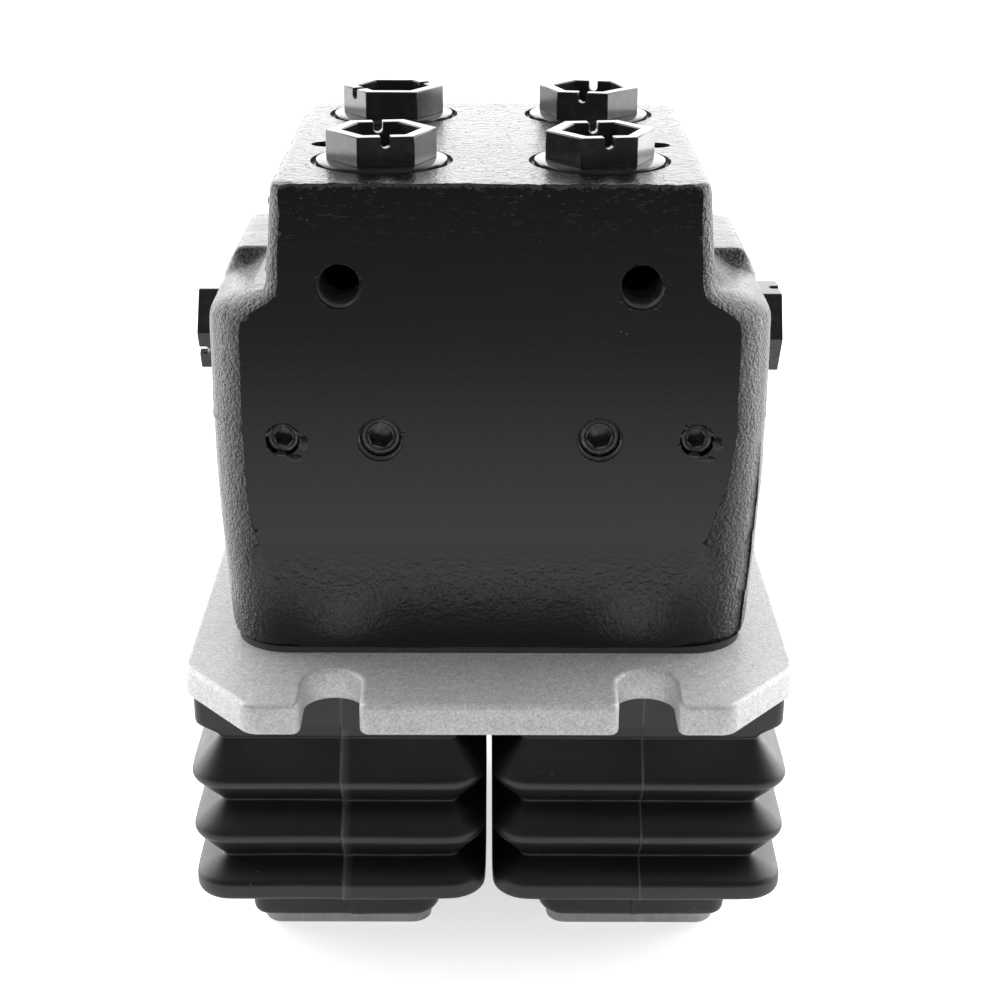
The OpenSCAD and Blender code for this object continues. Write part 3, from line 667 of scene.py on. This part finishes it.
mill((0, front_y, 0), (0, 1, 0))
for vert in skin.verts:
    vert.co.y = max(vert.co.y, front_y)
rim_edges = [g for g in mill((0, 0, base_z), (0, 0, -1), True) if isinstance(g, bmesh.types.BMEdge)]
bmesh.ops.holes_fill(skin, edges=rim_edges, sides=0)
bmesh.ops.remove_doubles(skin, verts=skin.verts, dist=0.01)
bmesh.ops.recalc_face_normals(skin, faces=skin.faces)
print(sum(1 for e in skin.edges if not e.is_manifold), "open edges after milling")

# %% Machine shop
front_hole_z, gallery_z = top_z - 24, top_z - 61.2
TAPPED_X, INNER_X, OUTER_X = 35, 26, 49  # how far the holes in the front are from its middle
PORTS = [(sx * 26.0, sy * 31.4) for sy in (-1, 1) for sx in (-1, 1)]
SEAT_DEPTH = 1.0
port_shape = [(0, -16), (10.5, -16), (10.5, -SEAT_DEPTH), (17, -SEAT_DEPTH), (17, 5), (0, 5)]
tapped = [(0, -20), (5.3, -18), (5.3, -0.25), (5.6, 0), (5.6, 4), (0, 4)]
inner_recess = [(0, -13), (5.3, -13), (5.3, -0.2), (5.5, 0), (5.5, 4), (0, 4)]
outer_recess = [(0, -11), (4.1, -11), (4.1, 4), (0, 4)]
small_top_hole = [(0, -15), (3.4, -13), (3.4, 5), (0, 5)]
cutters = bmesh.new()
for x, y in PORTS:
    turned(cutters, port_shape, at(x, y, top_z), 96)
for side in (-1, 1):
    turned(cutters, port_shape, at(side * side_face, port_y, port_z, SIDEWAYS[side]), 96)
    turned(cutters, tapped, at(side * TAPPED_X, front_y, front_hole_z, FORWARD), 64)
    turned(cutters, inner_recess, at(side * INNER_X, front_y, gallery_z, FORWARD), 64)
    turned(cutters, outer_recess, at(side * OUTER_X, front_y, gallery_z, FORWARD), 48)
    turned(cutters, small_top_hole, at(side * 41, -12, top_z), 40)
casting = carved(skin, cutters)
bmesh.ops.dissolve_degenerate(casting, edges=casting.edges, dist=0.001)
casting.normal_update()
for face in casting.faces:
    milled = face.normal.y < -0.999 and abs(face.calc_center_median().y - front_y) < 0.02
    face.material_index = 1 if milled else 0
print(len(casting.faces), "faces on the machined casting")
finished("valve_casting", casting, [enamel, enamel], "valve", ["valve_body"],
         soft_below=base_z + 28)

# %% [markdown]
# ### Threads
#
# A tapped hole is dark because light is lost between its threads. One V-shaped ridge, wound down the wall by
# `spin` with a step per turn, gives the hole its real rings.

# %% Threads


def thread(bm, x, z, start, minor, major, pitch, turns, steps=28):
    """A thread ridge in a hole that opens towards -Y; start is the depth of its first turn."""
    rise = pitch / 2 * 0.86
    profile = [(major, -rise), (minor, 0), (major, rise)]
    verts = [bm.verts.new((x + r, front_y + start + dy, z)) for r, dy in profile]
    edges = [bm.edges.new((verts[i], verts[(i + 1) % 3])) for i in range(3)]
    first = bm.faces.new(verts)
    bmesh.ops.spin(bm, geom=[*verts, *edges, first], cent=(x, 0, z), axis=(0, 1, 0),
                   dvec=(0, pitch / steps, 0), angle=math.tau * turns, steps=turns * steps, use_merge=False)


threads = bmesh.new()
for side in (-1, 1):
    thread(threads, side * TAPPED_X, front_hole_z, 1.5, 4.7, 5.35, 1.5, 10)
    thread(threads, side * INNER_X, gallery_z, 0.9, 4.9, 5.35, 1.0, 2)
bmesh.ops.remove_doubles(threads, verts=threads.verts, dist=0.001)
finished("front_hole_threads", threads, [socket_steel], "valve")
print("threads wound")

# %% [markdown]
# ### Gasket
#
# A thin sheet of gasket paper shows as a dark line between casting and plate.

# %% Gasket
gasket_low, gasket_high = box_mm("body_gasket")
sheet = bmesh.new()
add_block(sheet, (-63.0, front_y + 1.1, gasket_low.z), (63.0, back_y - 4, base_z + 0.4))
rounded(sheet, [e for e in sheet.edges if upright(e)], 13.5, 10)
finished("paper_gasket", sheet, [finishes["gasket_paper"]], "valve", ["body_gasket"])
print("gasket between", round(gasket_low.z, 1), "and", round(base_z, 1))

# %% [markdown]
# ### Paint runs
#
# Paint gathers in drops at the edges of holes. They are small flattened balls, a little dented, and a seeded
# draw places most of them.

# %% Paint runs
random.seed(7)
drops = bmesh.new()


def drop(bm, x, z, width, height, lift):
    """A flat bead of paint on the front face."""
    place = Matrix.Translation((x, front_y, z)) @ Matrix.Diagonal((width, lift, height, 1))
    made = bmesh.ops.create_icosphere(bm, subdivisions=3, radius=1, matrix=place)
    for vert in made["verts"]:
        p = vert.co * 1.7
        vert.co += Vector((noise.noise(p), 0, noise.noise(p + Vector((5, 0, 0))))) * width * 0.4


HOLE_RIMS = [(TAPPED_X, front_hole_z, 5.7, 5), (INNER_X, gallery_z, 5.6, 4), (OUTER_X, gallery_z, 4.4, 9)]
for side in (-1, 1):
    for hole_x, hole_z, radius, count in HOLE_RIMS:
        for _ in range(count):
            angle = random.uniform(0, math.tau)
            size = random.uniform(0.18, 0.5)
            drop(drops, side * hole_x + radius * math.cos(angle), hole_z + radius * math.sin(angle), size,
                 size * random.uniform(0.7, 1.3), 0.12)
    drop(drops, side * OUTER_X + 4.9, gallery_z - 0.8, 1.1, 1.9, 0.16)
    drop(drops, side * OUTER_X + 2.6, gallery_z - 4.6, 1.8, 0.8, 0.14)
finished("paint_drops", drops, [enamel], "valve")
print("drops of paint at the holes")

# %% [markdown]
# ## The flange plate
#
# The plate is flame-cut steel, milled and bead blasted. Its outline is an eight-sided figure with four open
# slots. The outline is one face that is given thickness, the slots are cut, and all edges are broken by a
# millimetre, which is what catches the light around it. The rims and lugs under it carry the bellows and the
# pedal shafts.

# %% Flange plate
PLATE_EDGE = 1.1
SLOT_R = 7.0
slot_y = plate_high.y - 12.2
plate_top = plate_high.z
plate_under = box_mm("bellows_left")[1].z + 0.3
corner_x, corner_y = 17.5, 21.6


def flange_outline():
    bm = bmesh.new()
    w, l = plate_high.x, plate_high.y
    corners = [(w - corner_x, -l), (w, corner_y - l), (w, l - corner_y), (w - corner_x, l)]
    corners += [(-x, y) for x, y in reversed(corners)]
    bm.faces.new([bm.verts.new((x, y, plate_under)) for x, y in corners])
    rounded(bm, bm.verts[:], 2.4, 5, affect="VERTICES")
    top = bmesh.ops.extrude_face_region(bm, geom=bm.faces[:])
    lifted = [g for g in top["geom"] if isinstance(g, bmesh.types.BMVert)]
    bmesh.ops.translate(bm, vec=(0, 0, plate_top - plate_under), verts=lifted)
    bmesh.ops.recalc_face_normals(bm, faces=bm.faces)
    return bm


slots = bmesh.new()
for sx in (-1, 1):
    for sy in (-1, 1):
        middle_y, mouth_y = sy * slot_y, sy * (plate_high.y + 8)
        low_y, high_y = sorted((middle_y - sy * SLOT_R, mouth_y))
        block = add_block(slots, (sx * rocker_x - SLOT_R, low_y, plate_under - 6),
                          (sx * rocker_x + SLOT_R, high_y, plate_top + 6))
        inner = {e for v in block for e in v.link_edges
                 if upright(e) and abs(e.verts[0].co.y - middle_y) < SLOT_R + 0.1}
        rounded(slots, list(inner), SLOT_R - 0.02, 24)
plate = carved(flange_outline(), slots)
bmesh.ops.remove_doubles(plate, verts=plate.verts, dist=0.03)
bmesh.ops.dissolve_limit(plate, angle_limit=math.radians(0.5), verts=plate.verts, edges=plate.edges)


def at_mouth(p):
    return abs(abs(p.y) - plate_high.y) < 0.1 and abs(abs(abs(p.x) - rocker_x) - SLOT_R) < 0.1


mouths = [e for e in plate.edges if upright(e) and at_mouth(e.verts[0].co)]
rounded(plate, mouths, 2.2, 5)
softened(plate, PLATE_EDGE, 3, 40)
print(len(mouths), "slot mouth corners,", len(plate.faces), "faces on the plate")

# %% Rims and lugs under the plate


def rim(bm, x):
    """The rectangular rim that a bellows collar stretches over."""
    half_x, half_y, height, wall = 33.1, 63.2, 7.4, 2.5
    bottom = plate_under - height
    outer = add_block(bm, (x - half_x, -half_y, bottom), (x + half_x, half_y, plate_under + 0.5))
    sides = {f for v in outer for f in v.link_faces}
    under = [f for f in sides if f.calc_center_median().z < bottom + 0.1]
    bmesh.ops.inset_region(bm, faces=under, thickness=wall, depth=0)
    bmesh.ops.translate(bm, vec=(0, 0, height - 0.2), verts=list({v for f in under for v in f.verts}))


def bar_shape(radius, half):
    """The outline of a plain round bar, for turning."""
    return [(0, -half), (radius, -half), (radius, half), (0, half)]


pivot_z = 52.0
LUG_X, LUG_HALF, LUG_R = 19.5, 3.5, 11
for x in (-rocker_x, rocker_x):
    rim(plate, x)
    for side in (-1, 1):
        lug_x = x + side * LUG_X
        add_block(plate, (lug_x - LUG_HALF, -LUG_R, pivot_z), (lug_x + LUG_HALF, LUG_R, plate_under + 0.5))
        turned(plate, bar_shape(LUG_R, LUG_HALF), at(lug_x, 0, pivot_z, SIDEWAYS[1]), 48)
finished("mounting_plate", plate, [steel_blasted], "valve", ["flange_plate"])

# %% [markdown]
# ## The shipping plugs
#
# Each plug is a thin disc with a hollow hexagon on it, and a round-bottomed groove across the hexagon's top.
# The hexagon and its hole are six-sided bars, the groove is a block with rounded lower edges, and a fine
# bevel on the hexagon's edges makes the bright rims. The side plugs are a size smaller.

# %% Plug
TOP_AF, SIDE_AF, SOCKET_AF = 23.0, 21.0, 16.6
FLANGE_R, FLANGE_T, HEAD_H = 15.7, 1.5, 7.0
NOTCH_HALF, NOTCH_DEPTH = 1.1, 2.7


def corner_radius(across_flats):
    """How far a hexagon's corners are from its middle."""
    return across_flats / 2 / math.cos(math.pi / 6)


def plug_shape(across_flats):
    """A plug with its seat at the origin and its head up."""
    top = FLANGE_T + HEAD_H
    bm = bmesh.new()
    prism(bm, 6, corner_radius(across_flats), FLANGE_T - 0.1, top, UP)
    hole = bmesh.new()
    prism(hole, 6, corner_radius(SOCKET_AF), -4, top + 5, UP)
    notch = bmesh.new()
    bar = add_block(notch, (-NOTCH_HALF, -20, top - NOTCH_DEPTH), (NOTCH_HALF, 20, top + 3))
    bottom = top - NOTCH_DEPTH + 0.01
    low_edges = [e for e in {e for v in bar for e in v.link_edges}
                 if all(w.co.z < bottom for w in e.verts) and abs(e.verts[0].co.y - e.verts[1].co.y) > 1]
    rounded(notch, low_edges, NOTCH_HALF * 0.98, 6)
    bm = carved(bm, hole, notch)
    bmesh.ops.dissolve_limit(bm, angle_limit=math.radians(1), verts=bm.verts, edges=bm.edges)
    softened(bm, 0.3, 2, 25)
    stem_and_disc = [(0, -12), (10.3, -12), (10.3, 0), (FLANGE_R - 0.3, 0), (FLANGE_R, 0.3),
                     (FLANGE_R, FLANGE_T - 0.35), (FLANGE_R - 0.1, FLANGE_T - 0.1),
                     (FLANGE_R - 0.35, FLANGE_T), (8.0, FLANGE_T), (8.0, -4), (0, -4.4)]
    turned(bm, stem_and_disc, UP, 96)
    return bm


PLUG_PLACES = [
    ("front_left", TOP_AF, at(*PORTS[0], top_z - SEAT_DEPTH, UP, 8)),
    ("front_right", TOP_AF, at(*PORTS[1], top_z - SEAT_DEPTH, UP, 8)),
    ("back_left", TOP_AF, at(*PORTS[2], top_z - SEAT_DEPTH, UP, -60)),
    ("back_right", TOP_AF, at(*PORTS[3], top_z - SEAT_DEPTH, UP, -11)),
    ("side_left", SIDE_AF, at(SEAT_DEPTH - side_face, port_y, port_z, SIDEWAYS[-1], -26)),
    ("side_right", SIDE_AF, at(side_face - SEAT_DEPTH, port_y, port_z, SIDEWAYS[1], 92)),
]
for word, across_flats, place in PLUG_PLACES:
    plug, one = plug_shape(across_flats), bmesh.new()
    placed_copy(one, plug, place)
    plug.free()
    node = f"side_port_plug_{word[5:]}" if word.startswith("side") else f"port_plug_{word}"
    finished(f"shipping_plug_{word}", one, [plug_steel], "valve", [node])
print("six plugs")

# %% [markdown]
# ## Gallery plugs
#
# The drilled galleries are closed by small socket plugs. They sit below the face, and the paint has run over
# them. The outer pair is staked: the metal around it has been punched over in three places, which are small
# flattened balls.

# %% Gallery plugs


def gallery_pair(name, x, radius, sunk, socket_af, node):
    """Two set screws with a rounded, chamfered mouth and a six-sided socket."""
    mouth = corner_radius(socket_af)
    bm, sockets = bmesh.new(), bmesh.new()
    shape = [(0, -8), (radius - 0.05, -8), (radius - 0.05, -0.7), (radius - 0.5, -0.1), (radius - 0.9, 0),
             (mouth + 0.55, 0), (mouth - 0.05, -0.6), (0, -0.6)]
    for side in (-1, 1):
        place = at(side * x, front_y + sunk, gallery_z, FORWARD, 12 * side)
        turned(bm, shape, place, 48)
        prism(sockets, 6, mouth, -5, 0.5, place)
    finished(name, carved(bm, sockets), [socket_steel], "valve", [node])


gallery_pair("inner_socket_plugs", INNER_X, 5.1, 2.6, 5.5, "inner_gallery_plugs")
gallery_pair("outer_socket_plugs", OUTER_X, 3.95, 1.3, 4.1, "outer_gallery_plugs")
STAKE_R = 3.75
stakes = bmesh.new()
for side in (-1, 1):
    for angle in (35, 150, 262):
        radians = math.radians(angle)
        across, up = STAKE_R * math.cos(radians), STAKE_R * math.sin(radians)
        place = Matrix.Translation((side * OUTER_X + across, front_y + 0.25, gallery_z + up))
        place = place @ Matrix.Rotation(-radians, 4, "Y") @ Matrix.Diagonal((0.75, 0.4, 1.5, 1))
        bmesh.ops.create_icosphere(stakes, subdivisions=3, radius=1, matrix=place)
finished("staked_edges", stakes, [enamel], "valve")
print("gallery plugs in")

# %% [markdown]
# ## Bellows
#
# A bellows is a rubber tube with a rounded rectangle for a section, pulled in and out down its length. One
# ring is extruded level by level, and each level's points slide to that level's own rounded rectangle: the
# corner radius shrinks towards the creases, as it does when a real bellows is moulded. Between a crease and a
# nose the flank is flat. A ridge down the middle of each short side is the seam that the mould leaves.

# %% Bellows levels
BOOT_W, BOOT_L, BOOT_R = 36.8, 71.6, 9.6
CREASES = (63.6, 46.1, 30.5)
NOSES = (54.0, 38.9, 24.8)
CREASE_INSET = 7.1
NOSE_R = 2.6


NECK_LEVELS = [(21.1, 34.0, 68.6, 6.8), (21.05, 29.0, 60.0, 6), (21.0, 25.6, 52.0, 5),
               (20.6, 25.1, 51.2, 4.6), (19.5, 25.0, 51.0, 4.5), (7.0, 25.0, 51.0, 4.5),
               (4.9, 24.8, 50.9, 4.3), (4.0, 24.2, 50.5, 4.0), (3.6, 23.2, 49.8, 3.5), (3.5, 20.5, 47.0, 3)]


def inset_level(z, inset):
    """A level of the bellows that is pulled in on all sides."""
    return z, BOOT_W - inset, BOOT_L - inset, BOOT_R - inset


def fold_profile():
    """(height, half width, half length, corner radius) from the collar to the neck."""
    levels = [(plate_under - 0.3, 35.4, 65.5, 3), (70.0, 35.4, 65.5, 3), (67.6, 35.4, 65.4, 3),
              (66.8, 35.0, 65.3, 3), (65.4, 32.0, 64.9, 3), inset_level(CREASES[0] + 0.6, CREASE_INSET - 0.4)]
    for i, (crease, nose) in enumerate(zip(CREASES, NOSES)):
        levels += [inset_level(crease + up, CREASE_INSET - out)
                   for up, out in ((0.2, 0.15), (0, 0), (-0.25, 0.2), (-0.6, 0.5))]
        upper = math.atan2(CREASE_INSET - NOSE_R * 0.3, crease - nose - NOSE_R * 0.5)
        levels += [inset_level(crease - (crease - nose - 2.2) * way,
                               CREASE_INSET - (CREASE_INSET - 1.0) * way) for way in (0.35, 0.72)]
        last = i == len(NOSES) - 1
        for step in range(6):
            bend = upper - (upper + (0 if last else 0.85)) * step / 5
            levels.append(inset_level(nose + NOSE_R * math.sin(bend) * 0.9,
                                      NOSE_R * (1 - math.cos(bend)) * 0.9))
        if last:
            levels += [inset_level(*pair) for pair in ((22.8, 0.0), (22.0, 0.15), (21.5, 0.5), (21.2, 1.1))]
        else:
            z, inset = nose - 2.0, 0.9
            end_z, end_inset = CREASES[i + 1] + 0.5, CREASE_INSET - 0.45
            levels += [inset_level(z + (end_z - z) * way, inset + (end_inset - inset) * way)
                       for way in (0.35, 0.7, 1)]
    return levels + NECK_LEVELS


def boot_outline(bm, x, seam):
    """One rounded rectangle at the collar, with close points at the seam."""
    z, half_x, half_y, radius = fold_profile()[0]
    near_seam = [seam + step for step in (-0.9, -0.35, 0, 0.35, 0.9)]
    xs = [-half_x, -half_x * 0.4, *near_seam, half_x * 0.4, half_x]
    lower = [bm.verts.new((x + px, -half_y, z)) for px in xs]
    right = [bm.verts.new((x + half_x, half_y * k, z)) for k in (-0.5, 0, 0.5)]
    upper = [bm.verts.new((x + px, half_y, z)) for px in reversed(xs)]
    left = [bm.verts.new((x - half_x, half_y * k, z)) for k in (0.5, 0, -0.5)]
    ring = lower + right + upper + left
    for i, vert in enumerate(ring):
        bm.edges.new((vert, ring[(i + 1) % len(ring)]))
    corners = [v for v in ring if abs(abs(v.co.x - x) - half_x) < 0.01 and abs(abs(v.co.y) - half_y) < 0.01]
    rounded(bm, corners, radius, 6, affect="VERTICES")
    return bm.edges[:]


def slide(vert, x, old, new):
    """Move a ring's point from one rounded rectangle to the matching place on another."""
    _, old_x, old_y, old_r = old
    z, new_x, new_y, new_r = new
    across, along = vert.co.x - x, vert.co.y
    flat_x, flat_y = old_x - old_r, old_y - old_r
    near_x = max(-flat_x, min(flat_x, across))
    near_y = max(-flat_y, min(flat_y, along))
    grow = new_r / old_r
    vert.co = (x + near_x * (new_x - new_r) / flat_x + (across - near_x) * grow,
               near_y * (new_y - new_r) / flat_y + (along - near_y) * grow, z)


print(len(fold_profile()), "levels in a bellows")

# %% Bellows


SEAM_HEIGHT, WALL = 0.55, 1.8


def bellows(name, side, node):
    x = side * rocker_x
    bm = bmesh.new()
    seam = 0.8 - 0.4 * side
    edges = boot_outline(bm, x, seam)
    # the crease number marks where a paler line is painted: along the creases and the seam
    pale_line = bm.verts.layers.float.new("crease")
    levels = fold_profile()
    for old, new in zip(levels, levels[1:]):
        made = bmesh.ops.extrude_edge_only(bm, edges=edges)["geom"]
        edges = [g for g in made if isinstance(g, bmesh.types.BMEdge)]
        for vert in (g for g in made if isinstance(g, bmesh.types.BMVert)):
            slide(vert, x, old, new)
            vert[pale_line] = 1.0 if new[0] in CREASES else 0.0
    for vert in bm.verts:
        across = vert.co.x - x
        if abs(across - seam) < 0.2 and abs(vert.co.y) > 40:
            vert.co.y += math.copysign(SEAM_HEIGHT, vert.co.y)
            vert[pale_line] = 0.8 if vert.co.z > 22 else 0.0
        # the neck's lower edge is slanted on the side towards the other pedal
        if vert.co.z < 6 and across * side < -18:
            vert.co.x += side * (6.2 - vert.co.z) * 1.1
    bmesh.ops.recalc_face_normals(bm, faces=bm.faces)
    outward = sum(f.normal.dot(f.calc_center_median() - Vector((x, 0, 45))) for f in bm.faces)
    if outward < 0:
        bmesh.ops.reverse_faces(bm, faces=bm.faces)
    bm = through_modifiers(bm, ("SUBSURF", {"levels": 1}), ("SOLIDIFY", {"thickness": WALL, "offset": -1.0}))
    for vert in bm.verts:
        p = vert.co
        wave = Vector((noise.noise(p * 0.05), noise.noise(p * 0.05 + Vector((9, 0, 0))), 0)) * 0.22
        vert.co = p + wave + Vector((0, 0, noise.noise(p * 0.03 + Vector((0, 4, 0))) * 0.3))
    piece = finished(name, bm, [rubber], None, [node])
    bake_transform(piece)
    return piece


for side, word in ((-1, "left"), (1, "right")):
    made = bellows(f"rubber_bellows_{word}", side, f"bellows_{word}")
    print(made.name, len(made.data.polygons), "faces")

# %% [markdown]
# ### Springs
#
# Each spool has a return spring and a metering spring. A coil is one helix of wire, and the imported one has
# the right shape, so a merged copy is used. In the valve a return spring's top end stays and its foot follows
# the spring seat, and a metering spring rides along almost whole, because its top end pushes the spool. The
# copies stay where the packed springs are.

# %% Springs


def coil_spring(kind, corner):
    """A merged copy of a packed spring; the heights of the packed spring's ends come back."""
    node = f"{kind}_spring_{corner}"
    low, high = box_mm(node)
    coil = bmesh.new()
    coil.from_mesh(frame["nodes"][node].data)
    bmesh.ops.scale(coil, vec=(1 / MM, 1 / MM, 1 / MM), verts=coil.verts)
    bmesh.ops.remove_doubles(coil, verts=coil.verts, dist=0.002)
    piece = finished(f"{kind}_coil_{corner}", coil, [finishes["spring_steel"]], None, [node])
    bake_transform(piece)
    return low.z, high.z


for corner in ("front_left", "front_right", "back_left", "back_right"):
    print(corner, coil_spring("return", corner), coil_spring("metering", corner))

# %% [markdown]
# ## Pedal rockers
#
# Only the edge of each rocker's pad shows, but the whole rocker is modelled: a pad with rounded corners, a
# web up to the hub, and two arms that carry the adjusting screws.

# %% Rockers
PAD_HALF_X, PAD_HALF_Y, PAD_T = 22.2, 48.6, 12.0
PAD_HOLE_Y, SCREW_Y = 25, 27


def rocker(name, x, body, node):
    bm = bmesh.new()
    add_block(bm, (x - PAD_HALF_X, -PAD_HALF_Y, 0), (x + PAD_HALF_X, PAD_HALF_Y, PAD_T))
    rounded(bm, [e for e in bm.edges if upright(e)], 5, 6)
    softened(bm, 0.9, 3, 50)
    holes = bmesh.new()
    for y in (-PAD_HOLE_Y, PAD_HOLE_Y):
        turned(holes, [(0, -1), (5.2, -1), (5.2, 0), (4.25, 1), (4.25, 10), (0, 11)], at(x, y, 0), 40)
    bm = carved(bm, holes)
    upper = bmesh.new()
    add_block(upper, (x - 13, -15, PAD_T - 1), (x + 13, 15, pivot_z))
    add_block(upper, (x - 11, -35, pivot_z - 5), (x + 11, 35, pivot_z + 5))
    turned(upper, bar_shape(13.5, 15), at(x, 0, pivot_z, SIDEWAYS[1]), 64)
    upper = through_modifiers(upper, ("REMESH", {"mode": "VOXEL", "voxel_size": 0.9}))
    smooth_where(upper, lambda p: True, 4)
    bores = bmesh.new()
    for y in (-SCREW_Y, SCREW_Y):
        turned(bores, bar_shape(4.04, 8), at(x, y, pivot_z), 40)
    turned(bores, bar_shape(9.0, 16), at(x, 0, pivot_z, SIDEWAYS[1]), 64)
    placed_copy(bm, carved(upper, bores), UP)
    return finished(name, bm, [pad_metal], body, [node])


for side, word in ((-1, "left"), (1, "right")):
    made = rocker(f"pedal_rocker_{word}", side * rocker_x, f"pedal_{word}", f"rocker_{word}")
    print(made.name, len(made.data.polygons), "faces")

# %% [markdown]
# ## Studio
#
# The valve stands on a white table in a white room. A long soft panel behind and above gives the top its
# shine, and two low panels at the sides light the rounded corners. The eye sees the table plain. In mirror
# images it glows around the valve and falls into shade towards the camera, and the gloss front mirrors that:
# dark at its top, lighter lower down. The camera sits half a metre away, a little above, with a long lens.

# %% Floor
floor_bm = bmesh.new()
bmesh.ops.create_grid(floor_bm, x_segments=1, y_segments=1, size=6.0)
floor = in_scene("floor", mesh_of("floor", floor_bm))
floor_look = Shader("floor_white", (0.92, 0.92, 0.92), 0.9, specular_ior_level=0.0)
toward_camera = floor_look.part("Y") * -1.0
shade = floor_look.ramp(toward_camera, (0.10, 0.92), (0.35, 0.85), (0.60, 0.30), (1.0, 0.12))
glow = floor_look.ramp(toward_camera, (0.09, 0.62), (0.20, 0.80), (0.36, 0.65), (0.62, 0.25), (1.0, 0.15))
eye, mirror = floor_look.ray("Camera"), floor_look.ray("Glossy")
EYE_GLOW = 0.66
floor_look.surface.inputs["Emission Strength"].default_value = 1.0
floor.data.materials.append(floor_look.feed(Base_Color=eye * (1 - shade) + shade,
                                            Emission_Color=(eye * EYE_GLOW + glow * mirror).clamped()))

# %% World


class Surroundings(Shader):
    """The world as a shader; its surface is the background, and place is the direction of view."""

    def __init__(self, name):
        self.material = bpy.data.worlds.new(name)
        self.material.use_nodes = True
        self.tree = self.material.node_tree
        self.surface = self.tree.nodes["Background"]
        self.place = self.node("ShaderNodeTexCoord", {}, {}, "Generated")


ROOM, DARK_SIDE = 0.55, 0.8  # the room's light on the work; how much darker the front looks in mirror images
sky = Surroundings("studio")
sky.surface.inputs["Color"].default_value = (1, 1, 1, 1)
in_front = ((sky.part("Y") * -1.0 - 0.1) * 3.0).clamped()
mirrored = sky.ray("Glossy") * (1 - in_front * DARK_SIDE)
bpy.context.scene.world = sky.feed(Strength=sky.ray("Camera") + mirrored + sky.ray("Diffuse") * ROOM)

# %% Panels


def panel(name, place, aim, width, height, radiance):
    """A soft box; radiance 1 looks white in a mirror."""
    light = bpy.data.lights.new(name, "AREA")
    light.shape = "RECTANGLE"
    light.size, light.size_y = width, height
    light.energy = radiance * math.pi * width * height
    lamp = in_scene(name, light)
    lamp.location = place
    lamp.rotation_euler = (Vector(aim) - Vector(place)).to_track_quat("-Z", "Y").to_euler()
    lamp.visible_camera = False


panel("back_panel", (0, 1.15, 0.42), (0, 0, 0.18), 1.5, 0.8, 2.15)
panel("left_panel", (-0.40, 0.16, 0.22), (0, 0, 0.10), 0.42, 0.44, 3.4)
panel("right_panel", (0.40, 0.16, 0.22), (0, 0, 0.10), 0.42, 0.44, 4.2)

# %% Camera
camera_data = bpy.data.cameras.new("camera")
camera_data.sensor_width = 36
camera_data.lens = 72
camera = in_scene("camera", camera_data)
PITCH, YAW, ROLL = 20.89, 0.31, 0.27
turn = Matrix.Rotation(math.radians(-YAW), 4, "Z") @ Matrix.Rotation(math.radians(90 - PITCH), 4, "X")
place = Matrix.Translation((0, -0.5057, 0.295))
camera.matrix_world = place @ turn @ Matrix.Rotation(math.radians(ROLL), 4, "Z")
bpy.context.scene.camera = camera
bpy.context.scene.view_settings.view_transform = "Standard"
